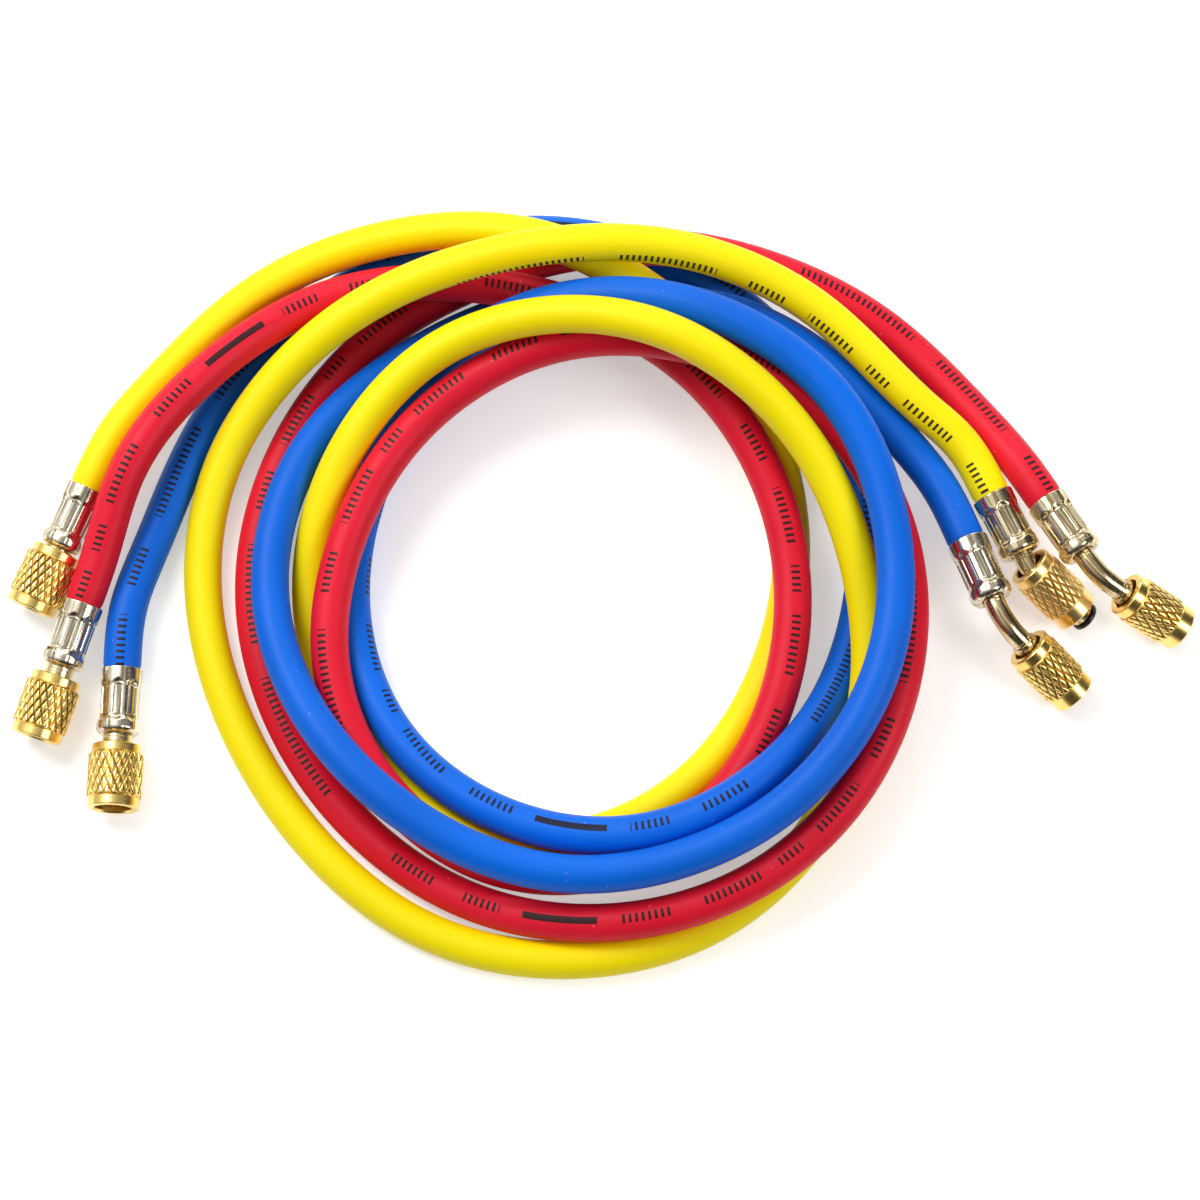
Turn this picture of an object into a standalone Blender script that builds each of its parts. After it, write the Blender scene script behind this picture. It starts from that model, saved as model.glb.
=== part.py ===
"""Three hoses for charging a refrigerant system, loosely coiled together in one heap.

Each hose has a straight fitting at its left end and a fitting bent by 45 degrees at its right
end. A fitting is a crimped ferrule, a stem with a sealing gasket, and a knurled nut that
swivels on the stem. Sizes are in millimetres and angles in degrees, +X runs right, +Y runs
away from the viewer and +Z is up. A station is a distance along a fitting from the ferrule's
mouth, where the hose goes in.
"""

import math

import bmesh
import bpy
import numpy as np
from mathutils import Matrix, Vector

MM = 0.001

# Hose
HOSE_DIAMETER = 11.4
HOSE_BORE = 4.8
CRIMPED_DIAMETER = 10.3
CRIMP_TAPER = 0.8
HOSE_SIDES_RESOLUTION = 1
LOOP_POINTS = 24
STRAIGHT_RUN = 12.0
FLAT_SHARE = 0.1

# Ferrule, from its mouth to its end
FERRULE_LENGTH = 20.0
FERRULE_DIAMETER = 12.4
FERRULE_BULGE_DIAMETER = 12.7
FERRULE_END_DIAMETER = 10.4
FERRULE_END_WALL = 2.0
FERRULE_MOUTH_ROUND = 0.3
FERRULE_END_ROUND = 1.6
ROUND_STEPS = 2
CRIMP_START = 4.6
CRIMP_LENGTH = 10.4
CRIMP_ACROSS_FLATS = 11.0
CRIMP_FLATS = 8
CRIMP_EASE = 0.5

# Stem
TUBE_DIAMETER = 6.4
STEM_BORE = 2.4
TAIL_DIAMETER = 3.8
BARB_DIAMETER = 4.2
BARB_COUNT = 3
BARB_PITCH = 4.5
TAIL_START = 1.5
STRAIGHT_NECK_DIAMETER = 8.8
STRAIGHT_NECK_LENGTH = 3.2
BENT_NECK_LENGTH = 1.8
BEND_RADIUS = 16.0
BEND_ANGLE = 45.0
BEND_STEPS = 6
SLEEVE_DIAMETER = 7.8
SLEEVE_START = 1.6
SLEEVE_SHOWN = 2.1
COLLAR_DIAMETER = 10.1
COLLAR_LENGTH = 1.6
NOSE_LENGTH = 5.1
SPIGOT_DIAMETER = 5.6

# Gasket and core depressor
GASKET_DIAMETER = 9.0
GASKET_THICKNESS = 1.3
DEPRESSOR_POCKET_DIAMETER = 4.4
DEPRESSOR_POCKET_DEPTH = 1.8
DEPRESSOR_THICKNESS = 0.8
DEPRESSOR_PIN_DIAMETER = 1.2
DEPRESSOR_PIN_LENGTH = 1.2

# Swivel nuts
NUT_HOLE_DIAMETER = 9.6
NUT_BORE_DIAMETER = 10.9
NUT_LIP = 3.0
NUT_EDGE = 0.4
STRAIGHT_NUT_LENGTH = 19.4
STRAIGHT_NUT_DIAMETER = 16.6
STRAIGHT_NUT_BACK_BAND = (2.8, 14.7)
STRAIGHT_NUT_FRONT_BAND = (3.1, 15.3)
BENT_NUT_LENGTH = 21.4
BENT_NUT_DIAMETER = 15.0
BENT_NUT_BACK_BAND = (3.3, 13.9)
BENT_NUT_FRONT_BAND = (4.7, 13.9)

# The yellow nuts are slid back on their stems, and the one on the bent stem leans towards the
# inside of the bend
SLID_STRAIGHT_SETBACK = 2.4
SLID_BENT_SETBACK = 3.9
SLID_BENT_LEAN_ANGLE = 10.8
SLID_BENT_CROSSING = 7.85

# Clearances, and how far a cutter runs past what it cuts
SEAT_GAP = 0.3
TIP_LIFT = 0.8
BORE_OVERRUN = 1.0
FLOOR_CUTTER_SIZE = 600.0
FLOOR_CUTTER_DEPTH = 20.0

# Facets round a turned piece
NUT_SIDES = 24
FERRULE_SIDES = 24
STEM_SIDES = 12
GASKET_SIDES = 16
SHARP_ANGLE = 30.0

# How the hoses pile up
PLAN_CLEARANCE = 0.6
PASS_CLEARANCE = 0.75
SAG_LENGTH = 58.5
HOSE_STIFFNESS = SAG_LENGTH**3
CONTACT_STIFFNESS = 4e4
CONTACT_STEPS = 6
NEIGHBOUR_REACH = 5.0
FIRST_HEIGHT = 20.0
SETTLE_ROUNDS = 80
SETTLED = 1e-3

# Middle of the finished heap in plan, which becomes the origin
PLAN_CENTRE = (0.07, 5.54)

# From a route's first point to the left ferrule's mouth, and from its last to the right one's
LEFT_STEPS = {
    "yellow": (-20.6, -33.0),
    "red": (-11.4, -35.4),
    "blue": (-7.2, -38.0),
}
RIGHT_STEPS = {
    "yellow": (19.9, -26.0),
    "red": (19.2, -28.1),
    "blue": (16.6, -30.9),
}

# How a fitting lies: heading below +X, rise of its axis and, if it is bent, roll of the bend
LEFT_ANGLES = {
    "yellow": (115.0, -8.0),
    "red": (108.8, -7.0),
    "blue": (92.0, 0.0),
}
RIGHT_ANGLES = {
    "yellow": (64.1, -1.6, 46.5),
    "red": (58.6, 6.3, 47.2),
    "blue": (68.6, 7.6, 52.4),
}

# Routes from the left end to the right end: X, Y and the rank in the pile, where more is higher
ROUTES = {
    "yellow": [
        (-134.0, 67.5, 1.0), (-104.5, 97.5, 1.0), (-66.5, 113.0, 1.0), (-24.0, 112.0, 1.0),
        (15.5, 93.5, 1.0), (44.5, 65.5, 1.0), (57.5, 27.0, 1.0), (51.5, -17.0, 1.0),
        (28.5, -53.0, 1.0), (-8.5, -71.5, 1.0), (-48.0, -65.0, 1.0), (-77.0, -34.5, 1.0),
        (-87.0, 7.5, 1.2), (-76.0, 44.5, 3.7), (-47.5, 73.0, 5.9), (-7.5, 80.0, 6.0),
        (32.0, 67.5, 6.0), (61.5, 42.0, 3.0), (77.5, 5.5, 1.2), (78.5, -36.5, 1.2),
        (61.5, -73.0, 1.2), (30.0, -99.0, 1.5), (-10.5, -108.0, 1.5), (-51.0, -99.5, 1.5),
        (-83.5, -75.0, 1.5), (-107.0, -40.5, 1.6), (-119.5, 1.5, 3.9), (-114.0, 44.0, 7.6),
        (-90.0, 76.0, 8.0), (-54.0, 96.0, 8.0), (-12.5, 104.0, 8.0), (29.5, 102.5, 8.0),
        (67.0, 86.0, 8.0), (98.0, 57.0, 8.0),
    ],
    "red": [
        (-143.5, 34.0, 2.0), (-119.0, 69.0, 2.0), (-85.0, 93.0, 2.0), (-43.5, 98.5, 2.0),
        (-2.0, 88.0, 2.0), (33.0, 63.5, 2.0), (53.5, 27.5, 2.0), (56.5, -15.5, 2.0),
        (41.0, -54.5, 2.0), (9.5, -79.5, 2.0), (-30.5, -81.5, 2.0), (-64.0, -58.5, 2.2),
        (-80.0, -21.5, 3.3), (-75.0, 18.5, 4.5), (-51.5, 55.0, 4.5), (-14.0, 74.5, 3.4),
        (27.0, 73.0, 3.0), (63.0, 58.0, 3.0), (86.5, 26.0, 3.0), (91.0, -19.0, 3.0),
        (76.5, -58.0, 3.0), (47.5, -85.5, 2.7), (9.0, -98.0, 2.0), (-31.5, -93.5, 2.0),
        (-67.5, -72.0, 2.0), (-93.5, -38.0, 2.0), (-104.5, 3.0, 2.0), (-97.0, 45.0, 2.0),
        (-73.0, 81.0, 0.7), (-36.5, 103.5, 0.6), (5.0, 110.5, 0.6), (46.5, 106.0, 0.6),
        (84.5, 89.0, 0.6), (115.0, 57.5, 0.6),
    ],
    "blue": [
        (-136.0, 17.3, 0.0), (-119.5, 58.0, 0.0), (-90.5, 91.5, 0.0), (-52.5, 113.5, 0.0),
        (-10.0, 118.5, 0.0), (31.5, 104.0, 0.0), (63.5, 73.0, 0.0), (79.5, 32.0, 0.0),
        (76.0, -11.0, 0.0), (52.5, -52.5, 3.0), (14.5, -72.5, 3.0), (-26.0, -68.0, 3.0),
        (-59.5, -43.0, 2.1), (-74.5, -4.0, 1.8), (-68.0, 41.5, 1.8), (-43.0, 77.0, 3.3),
        (-4.5, 88.5, 4.0), (37.0, 79.5, 4.0), (70.0, 55.5, 4.0), (86.0, 17.0, 4.0),
        (82.5, -27.5, 4.0), (60.0, -61.5, 4.0), (25.0, -81.5, 4.0), (-15.0, -85.5, 4.0),
        (-54.0, -70.5, 4.0), (-83.5, -41.5, 3.0), (-98.5, 0.5, 3.0), (-90.0, 43.0, 3.0),
        (-59.5, 76.5, 0.9), (-19.5, 95.5, 0.8), (23.0, 95.0, 0.8), (62.5, 77.5, 0.8),
        (93.5, 47.5, 0.8),
    ],
}

# Base colour, roughness, metallic
MATERIALS = {
    "yellow_rubber": ((0.94, 0.72, 0.01), 0.42, 0.0),
    "red_rubber": ((0.72, 0.02, 0.04), 0.42, 0.0),
    "blue_rubber": ((0.01, 0.13, 0.62), 0.42, 0.0),
    "nickel_plate": ((0.72, 0.69, 0.62), 0.24, 1.0),
    "brass": ((0.78, 0.57, 0.25), 0.28, 1.0),
    "black_rubber": ((0.02, 0.02, 0.02), 0.6, 0.0),
}

# Stations that several pieces share
FERRULE_WALL_START = FERRULE_LENGTH - FERRULE_END_WALL
HOSE_END = FERRULE_WALL_START - SEAT_GAP
SHOULDER = FERRULE_WALL_START + SEAT_GAP
STRAIGHT_NUT_BACK = FERRULE_LENGTH + STRAIGHT_NECK_LENGTH
BEND_START = FERRULE_LENGTH + BENT_NECK_LENGTH
BEND_END = BEND_START + BEND_RADIUS * math.radians(BEND_ANGLE)
BENT_NUT_BACK = BEND_END + SLEEVE_START + SLEEVE_SHOWN
COLLAR_OFFSET = NUT_LIP + SEAT_GAP
NOSE_OFFSET = COLLAR_OFFSET + COLLAR_LENGTH
NOSE_END_OFFSET = NOSE_OFFSET + NOSE_LENGTH
GASKET_OFFSET = NOSE_END_OFFSET + SEAT_GAP
TIP_OFFSET = GASKET_OFFSET + GASKET_THICKNESS
BENT_TIP = BENT_NUT_BACK + TIP_OFFSET
FLOOR_HEIGHT = HOSE_DIAMETER * (0.5 - FLAT_SHARE)
HOSE_SIDES = 4 + 2 * HOSE_SIDES_RESOLUTION


class Path:
    """Centre line of a fitting, straight from the ferrule's mouth and then bent, if it has a bend."""

    def __init__(self, start, step, heading, rise, roll=None):
        x, y = np.array(start[:2]) + step - PLAN_CENTRE
        self.mouth = Vector((x, y, 0.0))
        heading, rise = math.radians(heading), math.radians(rise)
        ahead = Vector((math.cos(heading), -math.sin(heading), 0.0))
        self.along = math.cos(rise) * ahead + Vector((0.0, 0.0, math.sin(rise)))
        level = Vector((math.sin(heading), math.cos(heading), 0.0))
        down = level.cross(self.along).normalized()
        down = down if down.z < 0 else -down
        turn = math.radians(roll or 0.0)
        self.inner = (math.cos(turn) * level + math.sin(turn) * down).normalized()
        self.bent = roll is not None

    def frame(self, station):
        """Matrix at a station: +Z along the fitting, +X towards the inside of the bend."""
        before, bend, after = station, 0.0, 0.0
        if self.bent:
            before = min(station, BEND_START)
            bend = min(max(station - BEND_START, 0.0), BEND_END - BEND_START) / BEND_RADIUS
            after = max(station - BEND_END, 0.0)
        along = math.cos(bend) * self.along + math.sin(bend) * self.inner
        inner = math.cos(bend) * self.inner - math.sin(bend) * self.along
        place = self.mouth + self.along * (before + BEND_RADIUS * math.sin(bend))
        place += self.inner * BEND_RADIUS * (1.0 - math.cos(bend)) + along * after
        return framed(place, along, inner)

    def stand(self, station, radius, lift=0.0):
        """Raise the fitting until a rim of this radius at this station clears the floor by the lift."""
        rim = self.frame(station)
        lowest = rim.translation.z - radius * math.hypot(rim[2][0], rim[2][1])
        self.mouth.z += lift - lowest


def framed(place, along, inner):
    """Matrix at a place whose +Z axis is along and whose +X axis is inner."""
    axes = Matrix((inner, along.cross(inner), along)).transposed().to_4x4()
    return Matrix.Translation(place) @ axes


def upright(station):
    """Matrix at a station of a piece that is made standing along +Z."""
    return Matrix.Translation((0.0, 0.0, station))


def leaned_nut_frame(path):
    """Frame of the leaning nut's back face: its axis crosses the stem's axis and leans off it."""
    crossing = BEND_END + SLID_BENT_CROSSING
    lean = path.frame(crossing) @ Matrix.Rotation(math.radians(-SLID_BENT_LEAN_ANGLE), 4, "Y")
    back = BENT_TIP - SLID_BENT_SETBACK - BENT_NUT_LENGTH - crossing
    return lean @ Matrix.Translation((0.0, 0.0, back))


def material(name):
    """The named material, made once."""
    made = bpy.data.materials.get(name)
    if made:
        return made
    colour, roughness, metallic = MATERIALS[name]
    made = bpy.data.materials.new(name)
    made.use_nodes = True
    shader = made.node_tree.nodes["Principled BSDF"]
    shader.inputs["Base Color"].default_value = (*colour, 1.0)
    shader.inputs["Roughness"].default_value = roughness
    shader.inputs["Metallic"].default_value = metallic
    return made


def add_object(name, mesh, material_name, place=None):
    """Put a mesh into the scene as a named object."""
    mesh.materials.clear()
    mesh.materials.append(material(material_name))
    made = bpy.data.objects.new(name, mesh)
    if place:
        made.matrix_world = place
    bpy.context.scene.collection.objects.link(made)
    return made


def turned(name, frames, outer, bore, sides, material_name, place=None):
    """A turned body: rings of the outer profile, then of the bore, each (station, radius)."""
    shape = bmesh.new()
    profile = outer + bore[::-1]
    rings = []
    for station, radius in profile:
        frame = frames(station)
        ring = []
        for side in range(sides):
            angle = 2.0 * math.pi * side / sides
            reach = radius(angle) if callable(radius) else radius
            corner = Vector((reach * math.cos(angle), reach * math.sin(angle), 0.0))
            ring.append(shape.verts.new(frame @ corner * MM))
        rings.append(ring)
    pairs = list(zip(rings, rings[1:]))
    if bore:
        pairs.append((rings[-1], rings[0]))
    else:
        shape.faces.new(rings[0][::-1])
        shape.faces.new(rings[-1])
    for first, second in pairs:
        for side in range(sides):
            after = (side + 1) % sides
            shape.faces.new((first[side], first[after], second[after], second[side]))
    mesh = bpy.data.meshes.new(name)
    shape.to_mesh(mesh)
    shape.free()
    mesh.shade_smooth()
    mesh.set_sharp_from_angle(angle=math.radians(SHARP_ANGLE))
    return add_object(name, mesh, material_name, place)


def crimped(angle):
    """Radius of the crimped ring at an angle: flats pressed in all round."""
    share = 2.0 * math.pi / CRIMP_FLATS
    return CRIMP_ACROSS_FLATS / 2.0 / math.cos(angle % share - share / 2.0)


def add_ferrule(name, path):
    """A ferrule crimped onto the hose, with a wall at its far end round the stem."""
    mouth, bulge, end = FERRULE_DIAMETER / 2.0, FERRULE_BULGE_DIAMETER / 2.0, FERRULE_END_DIAMETER / 2.0
    pocket = CRIMPED_DIAMETER / 2.0 + SEAT_GAP
    hole = TUBE_DIAMETER / 2.0 + SEAT_GAP
    crimp_end = CRIMP_START + CRIMP_LENGTH
    outer = [
        (0.0, mouth - FERRULE_MOUTH_ROUND),
        (FERRULE_MOUTH_ROUND, mouth),
        (CRIMP_START - CRIMP_EASE, mouth),
        (CRIMP_START, crimped),
        (crimp_end, crimped),
        (crimp_end + CRIMP_EASE, bulge),
    ]
    for step in range(ROUND_STEPS + 1):
        turn = math.pi / 2.0 * step / ROUND_STEPS
        station = FERRULE_LENGTH - FERRULE_END_ROUND * (1.0 - math.sin(turn))
        outer.append((station, end + (bulge - end) * math.cos(turn)))
    bore = [(0.0, pocket), (FERRULE_WALL_START, pocket), (FERRULE_WALL_START, hole), (FERRULE_LENGTH, hole)]
    turned(name, path.frame, outer, bore, FERRULE_SIDES, "nickel_plate")


def tail_profile():
    """The stem's barbed tail inside the hose, up to its shoulder."""
    tail, barb = TAIL_DIAMETER / 2.0, BARB_DIAMETER / 2.0
    profile = [(TAIL_START, tail)]
    for count in range(BARB_COUNT):
        station = TAIL_START + (count + 0.5) * BARB_PITCH
        profile += [(station, tail), (station + BARB_PITCH / 2.0, barb), (station + BARB_PITCH / 2.0, tail)]
    return profile + [(SHOULDER, tail), (SHOULDER, TUBE_DIAMETER / 2.0)]


def nose_profile(nut_back, neck):
    """The stem from where the nut sits on it to its tip: collar, nose and spigot."""
    collar, nose, spigot = COLLAR_DIAMETER / 2.0, SLEEVE_DIAMETER / 2.0, SPIGOT_DIAMETER / 2.0
    start, step = nut_back + COLLAR_OFFSET, nut_back + NOSE_OFFSET
    end, tip = nut_back + NOSE_END_OFFSET, nut_back + TIP_OFFSET
    return [
        (start, neck), (start, collar), (step, collar), (step, nose),
        (end, nose), (end, spigot), (tip, spigot),
    ]


def add_straight_stem(name, path):
    """A straight stem: tail, thick neck outside the ferrule, collar and nose inside the nut."""
    neck = STRAIGHT_NECK_DIAMETER / 2.0
    neck_start = FERRULE_LENGTH + SEAT_GAP
    outer = tail_profile() + [(neck_start, TUBE_DIAMETER / 2.0), (neck_start, neck)]
    outer += nose_profile(STRAIGHT_NUT_BACK, neck)
    bore = [(TAIL_START, STEM_BORE / 2.0), (STRAIGHT_NUT_BACK + TIP_OFFSET, STEM_BORE / 2.0)]
    turned(name, path.frame, outer, bore, STEM_SIDES, "brass")


def add_bent_stem(name, path):
    """A bent stem: tail, bent tube, sleeve, collar and nose, with a pocket for the depressor."""
    tube, sleeve, hole = TUBE_DIAMETER / 2.0, SLEEVE_DIAMETER / 2.0, STEM_BORE / 2.0
    bend = [BEND_START + (BEND_END - BEND_START) * step / BEND_STEPS for step in range(BEND_STEPS + 1)]
    sleeve_start = BEND_END + SLEEVE_START
    pocket_start = BENT_TIP - DEPRESSOR_POCKET_DEPTH
    pocket = DEPRESSOR_POCKET_DIAMETER / 2.0
    outer = tail_profile() + [(station, tube) for station in bend]
    outer += [(sleeve_start, tube), (sleeve_start, sleeve)] + nose_profile(BENT_NUT_BACK, sleeve)
    bore = [(TAIL_START, hole)] + [(station, hole) for station in bend]
    bore += [(pocket_start, hole), (pocket_start, pocket), (BENT_TIP, pocket)]
    turned(name, path.frame, outer, bore, STEM_SIDES, "nickel_plate")


def add_gasket(name, path, nut_back):
    """A gasket ring on the spigot at the stem's tip."""
    start, end = nut_back + GASKET_OFFSET, nut_back + TIP_OFFSET
    inner, outer = SPIGOT_DIAMETER / 2.0 + SEAT_GAP, GASKET_DIAMETER / 2.0
    rims = [[(start, radius), (end, radius)] for radius in (outer, inner)]
    turned(name, path.frame, *rims, GASKET_SIDES, "black_rubber")


def add_depressor(name, path):
    """The pin that opens the valve core, standing in the pocket at a bent stem's tip."""
    start = BENT_TIP - DEPRESSOR_POCKET_DEPTH + SEAT_GAP
    flange, pin = DEPRESSOR_POCKET_DIAMETER / 2.0 - SEAT_GAP, DEPRESSOR_PIN_DIAMETER / 2.0
    face = start + DEPRESSOR_THICKNESS
    profile = [(start, flange), (face, flange), (face, pin), (face + DEPRESSOR_PIN_LENGTH, pin)]
    turned(name, path.frame, profile, [], STEM_SIDES, "brass")


def add_nut(name, back, length, diameter, back_band, front_band):
    """A swivel nut with its origin on its own axis, at its back face: two bands and a grip between."""
    grip = diameter / 2.0
    rear, front = back_band[1] / 2.0, front_band[1] / 2.0
    grip_start, grip_end = back_band[0], length - front_band[0]
    outer = [
        (0.0, rear - NUT_EDGE), (NUT_EDGE, rear), (grip_start, rear), (grip_start + NUT_EDGE, grip),
        (grip_end - NUT_EDGE, grip), (grip_end, front),
        (length - NUT_EDGE, front), (length, front - NUT_EDGE),
    ]
    hole, bore = NUT_HOLE_DIAMETER / 2.0, NUT_BORE_DIAMETER / 2.0
    inner = [
        (0.0, hole), (NUT_LIP, hole), (NUT_LIP, bore),
        (length - NUT_EDGE, bore), (length, bore + NUT_EDGE),
    ]
    place = back.copy()
    place.translation = back.translation * MM
    turned(name, upright, outer, inner, NUT_SIDES, "brass", place)
    marks = {
        "origin": place.translation,
        "axis": back.to_3x3() @ Vector((0.0, 0.0, 1.0)),
        "face": back @ Vector((0.0, 0.0, length)) * MM,
    }
    print("nut", name, *(f"{mark} {[round(v, 6) for v in value]}" for mark, value in marks.items()))


def spline(knots, values, start_slope, end_slope):
    """Smooth curve through the values, with given slopes at its ends, as a function of the knots."""
    spans = np.diff(knots)[:, None]
    chords = np.diff(values, axis=0) / spans
    count = len(knots)
    system = np.eye(count)
    slopes = np.zeros_like(values)
    slopes[0], slopes[-1] = start_slope, end_slope
    for row in range(1, count - 1):
        before, after = spans[row - 1, 0], spans[row, 0]
        system[row, row - 1 : row + 2] = after, 2.0 * (before + after), before
        slopes[row] = 3.0 * (after * chords[row - 1] + before * chords[row])
    slopes = np.linalg.solve(system, slopes)

    def at(places):
        span = np.clip(np.searchsorted(knots, places, side="right") - 1, 0, count - 2)
        width = spans[span]
        share = (places - knots[span])[:, None] / width
        start = (1.0 + 2.0 * share) * values[span] + share * width * slopes[span]
        end = (3.0 - 2.0 * share) * values[span + 1] - (1.0 - share) * width * slopes[span + 1]
        return (1.0 - share) ** 2 * start + share**2 * end

    return at


def plan_route(colour, left, right):
    """Plan points of a hose from one ferrule's mouth to the other's, and its rank along the way."""
    route = np.array(ROUTES[colour])
    mouths = [np.array(path.mouth[:2]) for path in (left, right)]
    outward = [np.array(path.along[:2]) for path in (left, right)]
    runs = [mouth - STRAIGHT_RUN * out for mouth, out in zip(mouths, outward)]
    through = np.vstack([runs[0], route[:, :2] - PLAN_CENTRE, runs[1]])
    knots = np.r_[0.0, np.cumsum(np.linalg.norm(np.diff(through, axis=0), axis=1))]
    slopes = [out / np.linalg.norm(out) for out in outward]
    curve = spline(knots, through, -slopes[0], slopes[1])
    turning = np.unwrap(np.arctan2(*np.diff(through, axis=0).T[::-1]))
    count = round(LOOP_POINTS * abs(turning[-1] - turning[0]) / (2.0 * math.pi))
    places = np.linspace(0.0, knots[-1], count + 1)
    ranks = np.r_[route[0, 2], route[:, 2], route[-1, 2]]
    plan = np.vstack([mouths[0], curve(places), mouths[1]])
    return plan, lambda share: np.interp(share, knots / knots[-1], ranks)


def crossings(near, rank):
    """Pairs of near places as (over, under): each run of near places is decided once, by its ranks."""
    label = np.zeros(near.shape, int)
    leads = [0.0]
    for seed in zip(*np.nonzero(near)):
        waiting, lead = [seed] if not label[seed] else [], 0.0
        while waiting:
            one, other = waiting.pop()
            inside = one < len(near) and other < len(near) and near[one, other] and not label[one, other]
            if inside:
                label[one, other] = len(leads)
                lead += rank[one] - rank[other]
                waiting += [(one + i, other + j) for i in (-1, 0, 1) for j in (-1, 0, 1)]
        leads.append(lead)
    one, other = np.nonzero(near)
    wins = np.array(leads)[label[one, other]] > 0.0
    return np.where(wins, one, other), np.where(wins, other, one)


def settle(plans, ranks, held):
    """Heights of the plan points: the hoses sag as stiff beams until they rest on what they cross."""
    first = np.cumsum([0] + [len(plan) for plan in plans])
    count = first[-1]
    stiffness, weight = 1e-3 * np.eye(count), np.zeros(count)
    places, owner, share, rank, hose, along = [], [], [], [], [], []
    for index, plan in enumerate(plans):
        spans = np.linalg.norm(np.diff(plan, axis=0), axis=1)
        starts = np.r_[0.0, np.cumsum(spans)]
        for row in range(1, len(plan) - 1):
            before, after = spans[row - 1 : row + 1]
            bend = np.array([after, -(before + after), before]) * 2.0 / (before * after * (before + after))
            block = slice(first[index] + row - 1, first[index] + row + 2)
            stiffness[block, block] += HOSE_STIFFNESS * (before + after) / 2.0 * np.outer(bend, bend)
        weight[first[index] : first[index + 1] - 1] += spans / 2.0
        weight[first[index] + 1 : first[index + 1]] += spans / 2.0
        steps = np.tile(np.arange(CONTACT_STEPS) / CONTACT_STEPS, len(spans))
        chord = np.repeat(np.arange(len(spans)), CONTACT_STEPS)
        places.append(plan[chord] * (1.0 - steps[:, None]) + plan[chord + 1] * steps[:, None])
        owner.append(first[index] + chord)
        share.append(steps)
        along.append(starts[chord] + steps * spans[chord])
        rank.append(ranks[index](along[-1] / starts[-1]))
        hose.append(np.full(len(chord), index))
    places, owner, share, rank, hose, along = map(np.concatenate, (places, owner, share, rank, hose, along))
    apart = np.linalg.norm(places[:, None] - places[None], axis=2)
    same = (hose[:, None] == hose) & (abs(along[:, None] - along) < NEIGHBOUR_REACH * HOSE_DIAMETER)
    over, under = crossings(np.triu((apart < HOSE_DIAMETER + PLAN_CLEARANCE) & ~same), rank)
    rows = np.arange(len(over))
    contact = np.vstack([np.zeros((len(over), count)), np.eye(count)])
    for who, sign in ((over, 1.0), (under, -1.0)):
        np.add.at(contact, (rows, owner[who]), sign * (1.0 - share[who]))
        np.add.at(contact, (rows, owner[who] + 1), sign * share[who])
    lift = np.sqrt((HOSE_DIAMETER + PASS_CLEARANCE) ** 2 - apart[over, under] ** 2)
    needed = np.r_[lift, np.full(count, FLOOR_HEIGHT)]
    ends = np.concatenate([[a, a + 1, b - 2, b - 1] for a, b in zip(first, first[1:])])
    free = np.setdiff1d(np.arange(count), ends)
    fixed = np.concatenate(held)
    needed = needed - contact[:, ends] @ fixed
    load = weight[free] + stiffness[np.ix_(free, ends)] @ fixed
    contact, stiffness = contact[:, free], stiffness[np.ix_(free, free)]

    def energy(height):
        short = np.maximum(0.0, needed - contact @ height)
        return 0.5 * height @ stiffness @ height + load @ height + 0.5 * CONTACT_STIFFNESS * short @ short

    height = np.full(len(free), FIRST_HEIGHT)
    for _ in range(SETTLE_ROUNDS):
        pressed = needed - contact @ height > 0.0
        touch = contact[pressed]
        pull = CONTACT_STIFFNESS * touch.T @ needed[pressed] - load
        goal = np.linalg.solve(stiffness + CONTACT_STIFFNESS * touch.T @ touch, pull)
        step = 1.0
        while step > SETTLED and energy(height + step * (goal - height)) > energy(height):
            step /= 2.0
        move = step * (goal - height)
        height = height + move
        if abs(move).max() < SETTLED:
            break
    settled = np.zeros(count)
    settled[free], settled[ends] = height, fixed
    return [settled[a:b] for a, b in zip(first, first[1:])]


def least_gap(lines):
    """Least gap between hose surfaces, measured every millimetre, past each place's own neighbours."""
    places, hose, along = [], [], []
    for index, line in enumerate(lines):
        starts = np.r_[0.0, np.cumsum(np.linalg.norm(np.diff(line, axis=0), axis=1))]
        steps = np.arange(0.0, starts[-1])
        places.append(np.stack([np.interp(steps, starts, line[:, axis]) for axis in range(3)], axis=1))
        hose.append(np.full(len(steps), index))
        along.append(steps)
    places, hose, along = map(np.concatenate, (places, hose, along))
    least = math.inf
    for index in range(len(places)):
        other = (hose != hose[index]) | (abs(along - along[index]) > NEIGHBOUR_REACH * HOSE_DIAMETER)
        least = min(least, np.linalg.norm(places[other] - places[index], axis=1).min())
    return least - HOSE_DIAMETER


def tube_mesh(name, points, radii, depth):
    """Mesh of a round tube through the points, whose radius is the depth times each point's share."""
    curve = bpy.data.curves.new(name, "CURVE")
    curve.dimensions = "3D"
    curve.bevel_depth = depth * MM
    curve.bevel_resolution = HOSE_SIDES_RESOLUTION
    curve.use_fill_caps = True
    line = curve.splines.new("POLY")
    line.points.add(len(points) - 1)
    for target, point, radius in zip(line.points, points, radii):
        target.co = (*(Vector(point) * MM), 1.0)
        target.radius = radius
    holder = bpy.data.objects.new(name + "_guide", curve)
    mesh = bpy.data.meshes.new_from_object(holder)
    bpy.data.objects.remove(holder)
    bpy.data.curves.remove(curve)
    return mesh


def cut(target, cutter):
    """Subtract a hidden cutter from an object."""
    cutter.hide_render = True
    cutter.display_type = "WIRE"
    modifier = target.modifiers.new(cutter.name, "BOOLEAN")
    modifier.operation = "DIFFERENCE"
    modifier.object = cutter


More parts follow.
